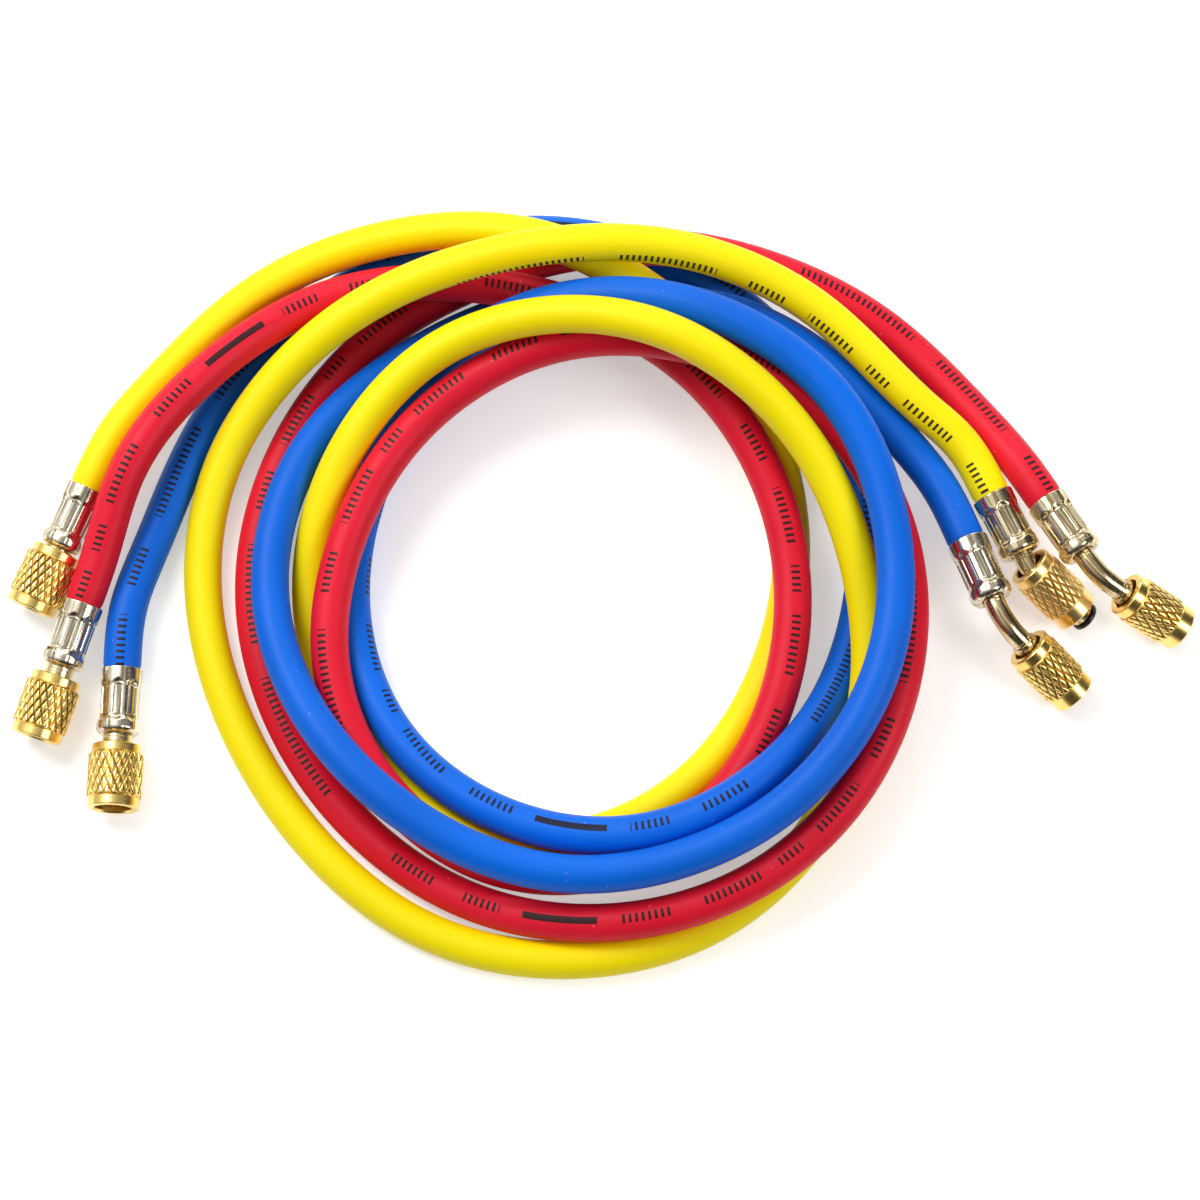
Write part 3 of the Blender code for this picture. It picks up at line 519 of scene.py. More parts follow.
def ring_faces(rows, columns, closed, diagonal=None):
    """Faces between rings of vertices, split along a diagonal where one is given."""
    faces = []
    for row in range(rows if closed else rows - 1):
        low, high = row * columns, (row + 1) % rows * columns
        for column in range(columns):
            after = (column + 1) % columns
            corners = (low + column, low + after, high + after, high + column)
            lean = diagonal(row, column) if diagonal else 0
            if lean > 0:
                faces += [(corners[0], corners[1], corners[2]), (corners[0], corners[2], corners[3])]
            elif lean < 0:
                faces += [(corners[0], corners[1], corners[3]), (corners[1], corners[2], corners[3])]
            else:
                faces.append(corners)
    return faces


def shell_mesh(name, rows, closed, caps=False, diagonal=None):
    """Mesh of rings of points in millimetres: a closed ring of rings, or a tube with or without caps."""
    rows = np.asarray(rows)
    count, columns = rows.shape[:2]
    faces = ring_faces(count, columns, closed, diagonal)
    if caps:
        faces.append(tuple(range(columns))[::-1])
        faces.append(tuple(range((count - 1) * columns, count * columns)))
    mesh = bpy.data.meshes.new(name)
    mesh.from_pydata((rows.reshape(-1, 3) * MM).tolist(), [], faces)
    mesh.update()
    return mesh


def ring(reach, angles, height):
    """Points at a height, each at its own reach and angle about the Z axis."""
    return np.column_stack([reach * np.cos(angles), reach * np.sin(angles), np.full(len(angles), height)])


def turned_rows(profile, columns):
    """Rings of a turned body about its own Z axis; a radius may be a function of the angles."""
    angles = FULL_TURN * np.arange(columns) / columns
    rows = []
    for height, radius in profile:
        reach = radius(angles) if callable(radius) else np.full(columns, radius)
        rows.append(ring(reach, angles, height))
    return rows


def along_path(rows, path):
    """Rings about the Z axis carried onto a fitting's centre line, its heights read as stations."""
    carried = []
    for row in rows:
        place = np.array(path.frame(float(row[0][2])))
        carried.append(row[:, :2] @ place[:3, :2].T + place[:3, 3])
    return carried


def keep_unbent(mesh, rows):
    """Keep each point's place in millimetres before the piece was bent, for the painted reflection streaks
    that run along it.
    """
    kept = mesh.attributes.new("unbent", "FLOAT_VECTOR", "POINT")
    kept.data.foreach_set("vector", np.asarray(rows).ravel())


def eased(share):
    share = np.clip(share, 0.0, 1.0)
    return share * share * (3.0 - 2.0 * share)


# -------------------- materials
class Nodes:
    """A material's node tree, with short calls for the nodes that these finishes use."""

    def __init__(self, name):
        self.material = bpy.data.materials.new(name)
        self.material.use_nodes = True
        self.tree = self.material.node_tree
        self.shader = self.tree.nodes["Principled BSDF"]

    def node(self, kind, **settings):
        made = self.tree.nodes.new(kind)
        for key, value in settings.items():
            setattr(made, key, value)
        return made

    def join(self, source, target):
        self.tree.links.new(source, target)

    def drive(self, socket, source):
        self.join(source, self.shader.inputs[socket])

    def math(self, operation, first, second=None, third=None):
        made = self.node("ShaderNodeMath", operation=operation)
        for socket, value in zip(made.inputs, (first, second, third)):
            if isinstance(value, (int, float)):
                socket.default_value = value
            elif value is not None:
                self.join(value, socket)
        return made.outputs[0]

    def ramp(self, source, stops, interpolation="LINEAR"):
        made = self.node("ShaderNodeValToRGB")
        made.color_ramp.interpolation = interpolation
        for index, (place, value) in enumerate(stops):
            spot = made.color_ramp.elements[index] if index < 2 else made.color_ramp.elements.new(place)
            spot.position = place
            spot.color = (value, value, value, 1.0) if isinstance(value, float) else (*value, 1.0)
        self.join(source, made.inputs["Fac"])
        return made.outputs["Color"]

    def mapped(self, vector, scale):
        made = self.node("ShaderNodeMapping")
        made.inputs["Scale"].default_value = scale
        self.join(vector, made.inputs["Vector"])
        return made.outputs["Vector"]

    def stretched(self, scale):
        """The object's own coordinates in millimetres, scaled along each axis."""
        place = self.node("ShaderNodeTexCoord")
        return self.mapped(place.outputs["Object"], [value / MM for value in scale])

    def noise(self, vector, detail=3.0, roughness=0.5):
        made = self.node("ShaderNodeTexNoise")
        made.inputs["Scale"].default_value = 1.0
        made.inputs["Detail"].default_value = detail
        made.inputs["Roughness"].default_value = roughness
        self.join(vector, made.inputs["Vector"])
        return made.outputs["Fac"]

    def mix(self, factor, first, second):
        made = self.node("ShaderNodeMix", data_type="RGBA")
        for socket, value in zip((made.inputs[0], made.inputs[6], made.inputs[7]), (factor, first, second)):
            if isinstance(value, tuple):
                socket.default_value = (*value, 1.0)
            elif isinstance(value, float):
                socket.default_value = value
            else:
                self.join(value, socket)
        return made.outputs[2]

    def bump(self, height, strength, distance, normal=None):
        made = self.node("ShaderNodeBump")
        made.inputs["Strength"].default_value = strength
        made.inputs["Distance"].default_value = distance * MM
        self.join(height, made.inputs["Height"])
        if normal:
            self.join(normal, made.inputs["Normal"])
        return made.outputs["Normal"]


def rubber(name, colour, shade, fleck):
    """Smooth extruded rubber: soft sheen, fine pits and flecks, and plain ink marks along it."""
    made = Nodes(name)
    broad = made.noise(made.stretched((0.02, 0.02, 0.02)), 2.0)
    fine = made.noise(made.stretched((2.2, 2.2, 2.2)), 4.0, 0.65)
    base = made.mix(made.ramp(broad, ((0.35, 0.0), (0.7, 1.0))), colour, shade)
    spots = made.node("ShaderNodeTexVoronoi", feature="F1")
    spots.inputs["Scale"].default_value = 1.0
    made.join(made.stretched((0.16, 0.16, 0.16)), spots.inputs["Vector"])
    base = made.mix(made.ramp(spots.outputs["Distance"], ((0.0, 0.8), (0.055, 0.0))), base, fleck)
    ink = ink_mask(made)
    worn = made.math("MULTIPLY", ink, made.ramp(fine, ((0.25, 0.75), (0.45, 0.97))))
    made.drive("Base Color", made.mix(worn, base, INK))
    made.drive("Roughness", made.ramp(fine, ((0.2, 0.38), (0.8, 0.56))))
    made.shader.inputs["Specular IOR Level"].default_value = 0.2
    pits = made.bump(fine, 0.25, 0.05)
    grain = made.noise(made.stretched((0.5, 0.5, 0.5)), 2.0)
    made.drive("Normal", made.bump(grain, 0.25, 0.12, pits))
    return made.material


def ink_mask(made):
    """Where the ink marks are: a plain long bar once in each repeat, and runs of upright ticks."""
    lay = made.node("ShaderNodeUVMap", uv_map="lay")
    split = made.node("ShaderNodeSeparateXYZ")
    made.join(lay.outputs["UV"], split.inputs[0])
    along = made.math("MULTIPLY", split.outputs["X"], 1.0 / MM)
    turn = made.math("WRAP", split.outputs["Y"], 0.5, -0.5)
    across = made.math("ABSOLUTE", made.math("MULTIPLY", turn, math.pi * HOSE_DIAMETER))
    inside = made.math("FLOORED_MODULO", along, INK_REPEAT)
    low = made.math("LESS_THAN", across, INK_BAR_WIDTH / 2.0)
    bar = made.math("MULTIPLY", made.math("LESS_THAN", inside, INK_BAR_LENGTH), low)
    stops = [(0.0, 0.0)]
    for start, end in INK_RUNS:
        stops += [(start / INK_REPEAT, 1.0), (end / INK_REPEAT, 0.0)]
    run = made.ramp(made.math("DIVIDE", inside, INK_REPEAT), stops, "CONSTANT")
    tick = made.math("LESS_THAN", made.math("FLOORED_MODULO", inside, INK_TICK_PITCH), INK_TICK_WIDTH)
    tall = made.math("LESS_THAN", across, INK_TICK_HEIGHT / 2.0)
    ticks = made.math("MULTIPLY", made.math("MULTIPLY", tick, run), tall)
    return made.math("MAXIMUM", ticks, bar)


def plated(name, light, dark, roughness, tarnish_and_painted_reflection):
    """Bright plate over formed steel or brass: scratches, dark streaks along it that are painted
    reflection, and tarnished specks.
    """
    made = Nodes(name)
    made.shader.inputs["Metallic"].default_value = 1.0
    cloud = made.noise(made.stretched((0.25, 0.25, 0.25)), 4.0, 0.6)
    speck = made.noise(made.stretched((2.6, 2.6, 2.6)), 5.0, 0.7)
    base = made.mix(made.ramp(cloud, ((0.35, 0.0), (0.75, 1.0))), light, dark)
    lay = made.node("ShaderNodeAttribute", attribute_name="unbent")
    # The dark streaks along the piece are painted reflection, standing in for dark surroundings mirrored in
    # the metal; they share the colour of the tarnished specks.
    painted_reflection_streak = made.noise(made.mapped(lay.outputs["Vector"], (0.9, 0.9, 0.05)), 3.0, 0.6)
    base = made.mix(made.ramp(painted_reflection_streak, ((0.47, 0.0), (0.6, 0.85))), base, tarnish_and_painted_reflection)
    made.drive("Base Color", made.mix(made.ramp(speck, ((0.56, 0.0), (0.72, 0.8))), base, tarnish_and_painted_reflection))
    made.drive("Roughness", made.ramp(speck, ((0.3, roughness), (0.75, roughness + 0.22))))
    scratch = made.noise(made.stretched((3.0, 3.0, 0.18)), 2.0)
    made.drive("Normal", made.bump(scratch, 0.16, 0.04, made.bump(speck, 0.12, 0.03)))
    return made.material


def turned_brass(name, light, dark, roughness, groove):
    """Brass from the lathe: tool rings round the axis, small nicks and a little oxide in the low places."""
    made = Nodes(name)
    made.shader.inputs["Metallic"].default_value = 1.0
    cloud = made.noise(made.stretched((0.35, 0.35, 0.35)), 4.0, 0.6)
    rings = made.noise(made.stretched((0.0, 0.0, 7.0)), 3.0, 0.7)
    speck = made.noise(made.stretched((3.0, 3.0, 3.0)), 3.0, 0.6)
    base = made.mix(made.ramp(cloud, ((0.3, 0.0), (0.75, 1.0))), light, dark)
    depth = made.node("ShaderNodeAttribute", attribute_name="low")
    low = made.math("MULTIPLY", depth.outputs["Fac"], made.ramp(speck, ((0.2, 0.55), (0.7, 1.0))))
    made.drive("Base Color", made.mix(low, base, groove))
    made.drive("Roughness", made.ramp(rings, ((0.25, roughness), (0.75, roughness + 0.16))))
    made.drive("Normal", made.bump(rings, 0.35, 0.03, made.bump(speck, 0.15, 0.02)))
    return made.material


def moulded_rubber(name):
    """Black gasket rubber with a wet-looking sheen."""
    made = Nodes(name)
    grain = made.noise(made.stretched((2.0, 2.0, 2.0)), 3.0)
    made.drive("Base Color", made.mix(grain, (0.006, 0.006, 0.007), (0.022, 0.021, 0.02)))
    made.drive("Roughness", made.ramp(grain, ((0.3, 0.16), (0.8, 0.34))))
    made.drive("Normal", made.bump(grain, 0.2, 0.03))
    return made.material


# -------------------- hoses
def hose_rings(line, left, right):
    """Centres, tangents and radii of a hose's rings, evenly spaced from inside one ferrule to the other."""
    enter = [left.frame(station).translation for station in (HOSE_END, HOSE_END / 2.0)]
    leave = [right.frame(station).translation for station in (HOSE_END / 2.0, HOSE_END)]
    through = np.vstack([enter, line, leave])
    knots = np.r_[0.0, np.cumsum(np.linalg.norm(np.diff(through, axis=0), axis=1))]
    curve = spline(knots, through, -np.array(left.along), np.array(right.along))
    count = round(knots[-1] / RING_STEP)
    places = np.linspace(0.0, knots[-1], count + 1)
    centres = curve(places)
    tangents = np.gradient(centres, axis=0)
    tangents /= np.linalg.norm(tangents, axis=1)[:, None]
    inside = np.minimum(places, knots[-1] - places)
    crimp = eased((inside - HOSE_END - SEAT_GAP) / CRIMP_TAPER)
    radii = CRIMPED_DIAMETER / 2.0 + (HOSE_DIAMETER - CRIMPED_DIAMETER) / 2.0 * crimp
    return centres, tangents, radii, places


def add_hose(colour, line, left, right, finish):
    """A hose as a smooth tube that rests on the floor, with its lay kept for the ink marks."""
    centres, tangents, radii, places = hose_rings(line, left, right)
    side = np.cross(tangents, (0.0, 0.0, 1.0))
    side /= np.linalg.norm(side, axis=1)[:, None]
    up = np.cross(side, tangents)
    angles = FULL_TURN * np.arange(HOSE_SIDES) / HOSE_SIDES
    cosines, sines = np.cos(angles)[None, :, None], np.sin(angles)[None, :, None]
    around = cosines * up[:, None] + sines * side[:, None]
    rows = centres[:, None] + radii[:, None, None] * around
    rows[:, :, 2] = np.maximum(rows[:, :, 2], 0.0)
    mesh = shell_mesh(colour + "_hose_skin", rows, False, caps=True)
    shares = places / places[-1]
    turns = np.interp(shares, *zip(*INK_TURNS[colour])) / 360.0
    lay = mesh.uv_layers.new(name="lay")
    for polygon in mesh.polygons:
        corners = [mesh.loops[index].vertex_index for index in polygon.loop_indices]
        columns = [corner % HOSE_SIDES for corner in corners]
        seam = max(columns) - min(columns) > 1 and len(corners) == 4
        for index, corner, column in zip(polygon.loop_indices, corners, columns):
            row = corner // HOSE_SIDES
            turn = (column + HOSE_SIDES if seam and column == 0 else column) / HOSE_SIDES
            lengthways = INK_START[colour] + INK_WAY[colour] * places[row]
            lay.data[index].uv = (lengthways * MM, turn - turns[row])
    made = piece(colour + "_hose_skin", mesh, [finish], smooth=60.0)
    return made, [tuple(centre * MM) for centre in centres]


# -------------------- ferrules
def ferrule_radius(station, angles):
    """Outside of a crimped ferrule: flared mouth, eight framed panels, waist and rounded bulge."""
    share = FULL_TURN / CRIMP_FLATS
    off = (angles + share / 2.0) % share - share / 2.0
    flat = CRIMP_ACROSS_FLATS / 2.0 / np.cos(off)
    ridge = CRIMP_RIDGE_DIAMETER / 2.0
    crimped = (ridge + flat - np.sqrt((ridge - flat) ** 2 + CRIMP_BLEND)) / 2.0
    across = flat * np.sin(off)
    middle = (PANEL_START + PANEL_END) / 2.0
    wide = np.abs(across) - (PANEL_WIDTH / 2.0 - PANEL_ROUND)
    high = abs(station - middle) - ((PANEL_END - PANEL_START) / 2.0 - PANEL_ROUND)
    outside = np.hypot(np.maximum(wide, 0.0), max(high, 0.0))
    distance = outside + np.minimum(np.maximum(wide, high), 0.0) - PANEL_ROUND
    crimped = crimped + FRAME_HEIGHT * np.exp(-((distance / FRAME_WIDTH) ** 2))
    crimped = crimped - PANEL_DEPTH * eased((-distance - FRAME_WIDTH * 0.5) / FRAME_WIDTH)
    mouth = FERRULE_DIAMETER / 2.0 + MOUTH_FLARE * eased(1.0 - station / CRIMP_START)
    mouth -= MOUTH_ROUND * max(0.0, 1.0 - station / MOUTH_ROUND) ** 2
    peak = np.cos(off / share * FULL_TURN)
    start = CRIMP_START - SCALLOP_SETBACK - SCALLOP_DEPTH * peak
    press = eased((station - start) / CRIMP_FADE)
    bulge_share = (station - BULGE_START) / (FERRULE_LENGTH - BULGE_START)
    bulge = FERRULE_BULGE_DIAMETER / 2.0 - BULGE_FLATNESS * (1.0 - np.cos(off) / np.cos(share / 2.0))
    drop = FERRULE_BULGE_DIAMETER / 2.0 - FERRULE_END_DIAMETER / 2.0
    past = max(0.0, (bulge_share - BULGE_END_SHARE) / (1.0 - BULGE_END_SHARE))
    bulge = bulge - drop * past**BULGE_END_CURVE
    release = eased((station - BULGE_FADE_START - BULGE_SCALLOP * peak) / BULGE_FADE)
    return (mouth * (1.0 - press) + crimped * press) * (1.0 - release) + bulge * release


def add_ferrule(colour, end, path, finish):
    """A ferrule crimped onto the hose, with a wall at its far end round the stem."""
    pocket = CRIMPED_DIAMETER / 2.0 + SEAT_GAP
    hole = TUBE_DIAMETER / 2.0 + SEAT_GAP
    inside = MOUTH_INSIDE_DIAMETER / 2.0
    rounding = np.arange(0.0, MOUTH_ROUND, MOUTH_STEP)
    stations = np.r_[rounding, np.arange(MOUTH_ROUND, FERRULE_LENGTH, FERRULE_STEP), FERRULE_LENGTH]
    profile = [(station, lambda angles, at=station: ferrule_radius(at, angles)) for station in stations]
    profile += [(FERRULE_LENGTH, hole + END_CHAMFER), (FERRULE_LENGTH - END_CHAMFER / 2.0, hole)]
    profile.append((FERRULE_WALL_START, hole))
    profile += [(FERRULE_WALL_START, pocket), (MOUTH_DEPTH, pocket)]
    profile += [(MOUTH_ROUND, inside), (0.0, inside + MOUTH_FLARE)]
    name = f"{colour}_ferrule_{end}"
    rows = turned_rows(profile, CRIMP_FLATS * FERRULE_FLAT_COLUMNS)
    mesh = shell_mesh(name + "_formed", rows, True)
    keep_unbent(mesh, rows)
    made = piece(name + "_formed", mesh, [finish], scaled(path.frame(0.0)), smooth=38.0)
    return dress(made, "hoses", "nickel_plate", name)


# -------------------- stems and what sits on their tips
def tail_profile():
    """The stem's barbed tail inside the hose, up to its shoulder."""
    tail, barb = TAIL_DIAMETER / 2.0, BARB_DIAMETER / 2.0
    profile = [(TAIL_START, tail)]
    for count in range(BARB_COUNT):
        station = TAIL_START + (count + 0.5) * BARB_PITCH
        profile += [(station, tail), (station + BARB_PITCH / 2.0, barb), (station + BARB_PITCH / 2.0, tail)]
    return profile + [(SHOULDER, tail), (SHOULDER, TUBE_DIAMETER / 2.0)]


def nose_profile(nut_back, neck):
    """The stem from where the nut sits on it to its tip: collar, chamfered nose and spigot."""
    collar, nose, spigot = COLLAR_DIAMETER / 2.0, SLEEVE_DIAMETER / 2.0, SPIGOT_DIAMETER / 2.0
    start, step = nut_back + COLLAR_OFFSET, nut_back + NOSE_OFFSET
    end, tip = nut_back + NOSE_END_OFFSET, nut_back + TIP_OFFSET
    return [
        (start, neck), (start, collar - EDGE), (start + EDGE, collar),
        (step - EDGE, collar), (step, collar - EDGE), (step, nose),
        (end - 3.0 * EDGE, nose), (end - EDGE, nose - NOSE_CHAMFER), (end, nose - 2.0 * EDGE),
        (end, spigot), (tip - EDGE, spigot), (tip, spigot - EDGE),
    ]


def tool_marks(start, radius, marks):
    """Fine turned lines round a tube: each is a shallow groove at a distance from the start."""
    profile = []
    for offset in marks:
        at = start + offset
        profile.append((at - MARK_HALF_WIDTH, radius))
        profile += [(at, radius - TOOL_MARK_DEPTH), (at + MARK_HALF_WIDTH, radius)]
    return profile


def add_stem(colour, end, path, finish):
    """A stem: barbed tail in the hose, neck or bent tube, collar and nose in the nut."""
    hole = STEM_BORE / 2.0
    tube, sleeve = TUBE_DIAMETER / 2.0, SLEEVE_DIAMETER / 2.0
    if end == "straight":
        neck = STRAIGHT_NECK_DIAMETER / 2.0
        start = FERRULE_LENGTH + SEAT_GAP
        tip = STRAIGHT_NUT_BACK + TIP_OFFSET
        outer = tail_profile() + [(start, tube), (start, neck - EDGE), (start + EDGE, neck)]
        outer += tool_marks(start, neck, NECK_MARKS) + nose_profile(STRAIGHT_NUT_BACK, neck)
        bore = [(TAIL_START, hole), (tip - EDGE, hole), (tip, hole + EDGE)]
    else:
        bend = np.linspace(BEND_START, BEND_END, BEND_STEPS + 1)
        step, tip = BEND_END + SLEEVE_START, BENT_TIP
        pocket_start = tip - POCKET_DEPTH
        pocket = POCKET_DIAMETER / 2.0
        outer = tail_profile() + tool_marks(FERRULE_LENGTH, tube, TUBE_MARKS)
        outer += [(station, tube) for station in bend] + tool_marks(BEND_END, tube, BEND_MARKS)
        outer += [(step - SLEEVE_ROOT, tube), (step, tube + SLEEVE_RISE), (step + EDGE, sleeve)]
        outer += tool_marks(step, sleeve, SLEEVE_MARKS) + nose_profile(BENT_NUT_BACK, sleeve)
        bore = [(TAIL_START, hole)] + [(station, hole) for station in bend]
        bore += [(pocket_start, hole), (pocket_start, pocket), (tip, pocket)]
    name = f"{colour}_stem_{end}"
    unbent = turned_rows(outer + bore[::-1], STEM_SIDES)
    rows = along_path(unbent, path)
    mesh = shell_mesh(name + "_turned", rows, True)
    keep_unbent(mesh, unbent)
    made = piece(name + "_turned", mesh, [finish], smooth=25.0)
    return dress(made, "hoses", "brass" if end == "straight" else "nickel_plate", name)


def add_gasket(colour, end, path, nut_back, finish):
    """A rounded gasket ring on the spigot at the stem's tip."""
    start, tip = nut_back + GASKET_OFFSET, nut_back + TIP_OFFSET
    inner, outer = SPIGOT_DIAMETER / 2.0 + SEAT_GAP / 2.0, GASKET_DIAMETER / 2.0
    turns = np.linspace(0.0, math.pi / 2.0, GASKET_ROUND_STEPS)
    backs, radii = GASKET_ROUND * (1.0 - np.cos(turns)), outer - GASKET_ROUND * (1.0 - np.sin(turns))
    profile = [(start, inner)] + list(zip(start + backs, radii))
    profile += list(zip(tip - backs[::-1], radii[::-1]))
    profile += [(tip, inner + GASKET_EDGE), (tip - GASKET_EDGE, inner)]
    name = f"{colour}_gasket_{end}"
    mesh = shell_mesh(name + "_ring", along_path(turned_rows(profile, GASKET_SIDES), path), True)
    made = piece(name + "_ring", mesh, [finish], smooth=40.0)
    return dress(made, "hoses", "black_rubber", name)


def add_depressor(colour, path, finish):
    """The pin that opens a valve core, in the pocket at a bent stem's tip, with its rounded end."""
    start = BENT_TIP - POCKET_DEPTH + SEAT_GAP
    flange, pin = POCKET_DIAMETER / 2.0 - SEAT_GAP, DEPRESSOR_PIN_DIAMETER / 2.0
    face = start + DEPRESSOR_THICKNESS
    end = face + DEPRESSOR_PIN_LENGTH
    profile = [(start, flange - EDGE), (start + EDGE, flange), (face - EDGE, flange), (face, flange - EDGE)]
    profile += [(face, pin + PIN_FILLET), (face + PIN_FILLET, pin)]
    profile += [(end - back, pin - fall) for back, fall in PIN_END]
    name = colour + "_depressor"
    rows = along_path(turned_rows(profile, DEPRESSOR_SIDES), path)
    mesh = shell_mesh(name + "_pin", rows, False, caps=True)
    made = piece(name + "_pin", mesh, [finish], smooth=30.0)
    return dress(made, "hoses", "brass", name)


# -------------------- nuts
def knurl_depth(height, angles, starts, start):
    """Depth of two crossing sets of V grooves at a height, and how far off each set's groove is."""
    turns = starts * angles / FULL_TURN
    rise = (height - start) / KNURL_PERIOD
    one = np.abs((turns + rise + 0.5) % 1.0 - 0.5)
    other = np.abs((turns - rise + 0.5) % 1.0 - 0.5)
    near = np.minimum(one, other)
    steep = np.clip(1.0 - near / KNURL_GROOVE_SHARE, 0.0, 1.0)
    crest = 1.0 - KNURL_VALLEY_SHARE
    return KNURL_DEPTH * (KNURL_VALLEY_SHARE * steep + crest * (1.0 - 2.0 * near)), one, other


def add_nut(colour, end, back, sizes, finish):
    """A knurled swivel nut about its own axis from its back face, with the lip behind its thread."""
    diameter, length, back_band, front_band, starts = sizes
    columns = starts * KNURL_COLUMNS
    grip = diameter / 2.0
    rear, front = back_band[1] / 2.0, front_band[1] / 2.0
    start, stop = back_band[0], length - front_band[0]
    step = KNURL_PERIOD / KNURL_COLUMNS
    count = int((stop - start) / step)
    hole, bore = NUT_HOLE_DIAMETER / 2.0, NUT_BORE_DIAMETER / 2.0

    def knurled(height):
        def radius(angles):
            reach = grip - knurl_depth(height, angles, starts, start)[0]
            edge = min(height - start, stop - height) * KNURL_END_SLOPE
            band = rear if height < (start + stop) / 2.0 else front
            return np.minimum(reach, band + max(edge, 0.0))
        return radius

    profile = [(HOLE_CHAMFER, hole), (0.0, hole + HOLE_CHAMFER)]
    profile += [(at, rear - NUT_EDGE + rise) for at, rise in BACK_CORNER] + [(NUT_EDGE, rear)]
    profile += [(start - STEP_WIDTH, rear), (start - STEP_MIDDLE, rear - STEP_DEPTH), (start, rear)]
    first = len(profile)
    inner = [start + step * row for row in range(1, count + 1)]
    heights = [start + KNURL_END_SETBACK] + inner + [stop - KNURL_END_SETBACK]
    profile += [(height, knurled(height)) for height in heights if height < stop - KNURL_END_CLEARANCE]
    last = len(profile)
    profile += [(stop, front), (stop + STEP_MIDDLE, front - STEP_DEPTH), (stop + STEP_WIDTH, front)]
    profile += [(length - NUT_EDGE, front), (length - FRONT_CORNER, front - FRONT_CORNER)]
    profile += [(length, front - NUT_EDGE), (length, bore + MOUTH_CHAMFER)]
    profile += [(length - MOUTH_CHAMFER, bore + BORE_RELIEF), (NUT_LIP + BORE_RELIEF, bore + BORE_RELIEF)]
    profile += [(NUT_LIP, hole + LIP_CHAMFER), (NUT_LIP - LIP_CHAMFER, hole)]
    rows = turned_rows(profile, columns)
    angles = FULL_TURN * (np.arange(columns) + 0.5) / columns

    def diagonal(row, column):
        if not first - 1 <= row < last:
            return 0
        height = (profile[row][0] + profile[row + 1][0]) / 2.0
        _, one, other = knurl_depth(height, angles[column], starts, start)
        return -1 if one < other else 1

    name = f"{colour}_nut_{end}"
    mesh = shell_mesh(name + "_knurled", rows, True, diagonal=diagonal)
    low = mesh.attributes.new("low", "FLOAT", "POINT")
    reaches = np.linalg.norm(np.array(rows)[:, :, :2], axis=2)
    depth = np.zeros(reaches.shape)
    sunk = grip - LOW_START * KNURL_DEPTH - reaches[first:last]
    depth[first:last] = np.clip(sunk / (LOW_SPAN * KNURL_DEPTH), 0.0, 1.0)
    low.data.foreach_set("value", depth.ravel())
    made = piece(name + "_knurled", mesh, [finish], scaled(back), smooth=18.0)
    dress(made, name + "_body", "brass", name)

    pitches = np.arange(NUT_LIP + THREAD_START, length - MOUTH_CHAMFER - THREAD_SETBACK, THREAD_PITCH / 4.0)
    rings = []
    turns = FULL_TURN * np.arange(THREAD_SIDES) / THREAD_SIDES
    for height in pitches:
        wave = np.abs((height / THREAD_PITCH + turns / FULL_TURN) % 1.0 - 0.5) * 2.0
        reach = bore + THREAD_RISE + THREAD_DEPTH * wave
        rings.append(ring(reach, turns, height))
    outside = bore + THREAD_DEPTH + THREAD_BACKING
    outer = turned_rows([(pitches[-1], outside), (pitches[0], outside)], THREAD_SIDES)
    thread_mesh = shell_mesh(name + "_thread", rings + outer, True)
    thread = piece(name + "_thread", thread_mesh, [finish], scaled(back), smooth=30.0)
    return dress(thread, name + "_body", "brass")


def dress(made, body, slot, *nodes):
    """Make a piece ride on a body and stand for its nodes; its slot is not used."""
    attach(made, body)
    if nodes:
        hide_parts(*nodes)
    return made


# -------------------- the heap of hoses
STRAIGHT_BACK = {colour: STRAIGHT_NUT_BACK for colour in ROUTES}
STRAIGHT_BACK["yellow"] -= SLID_STRAIGHT_SETBACK
LEFT, RIGHT = {}, {}
for colour, route in ROUTES.items():
    LEFT[colour] = Path(route[0], LEFT_STEPS[colour], *LEFT_ANGLES[colour])
    grip_end = STRAIGHT_BACK[colour] + STRAIGHT_NUT_LENGTH - STRAIGHT_NUT_FRONT_BAND[0]
    LEFT[colour].stand(grip_end, STRAIGHT_NUT_DIAMETER / 2.0)
    RIGHT[colour] = Path(route[-1], RIGHT_STEPS[colour], *RIGHT_ANGLES[colour])
    if colour == "yellow":
        RIGHT[colour].stand(BENT_TIP, GASKET_DIAMETER / 2.0, TIP_LIFT)
    else:
        RIGHT[colour].stand(BENT_NUT_BACK + BENT_NUT_LENGTH - NUT_EDGE, BENT_NUT_RIM_DIAMETER / 2.0)

routes = {colour: plan_route(colour, LEFT[colour], RIGHT[colour]) for colour in ROUTES}
held = []
for colour in ROUTES:
    left, right = LEFT[colour], RIGHT[colour]
    stations = [(left, 0.0), (left, -STRAIGHT_RUN), (right, -STRAIGHT_RUN), (right, 0.0)]
    held.append([path.frame(station).translation.z for path, station in stations])
plans = [routes[colour][0] for colour in ROUTES]
heights = settle(plans, [routes[colour][1] for colour in ROUTES], held)
lines = {colour: np.column_stack([plan, height]) for colour, plan, height in zip(ROUTES, plans, heights)}

# -------------------- camera at the photograph's angle
lens = bpy.data.cameras.new("camera")
lens.sensor_width = SENSOR
lens.lens = SENSOR * DISTANCE / FRAME_WIDTH_AT_TARGET
camera = bpy.data.objects.new("camera", lens)
toward = Vector((0.0, -math.cos(math.radians(ELEVATION)), math.sin(math.radians(ELEVATION))))
camera.location = TARGET + DISTANCE * toward
camera.rotation_euler = toward.to_track_quat("Z", "Y").to_euler()
bpy.context.scene.collection.objects.link(camera)
bpy.context.scene.camera = camera

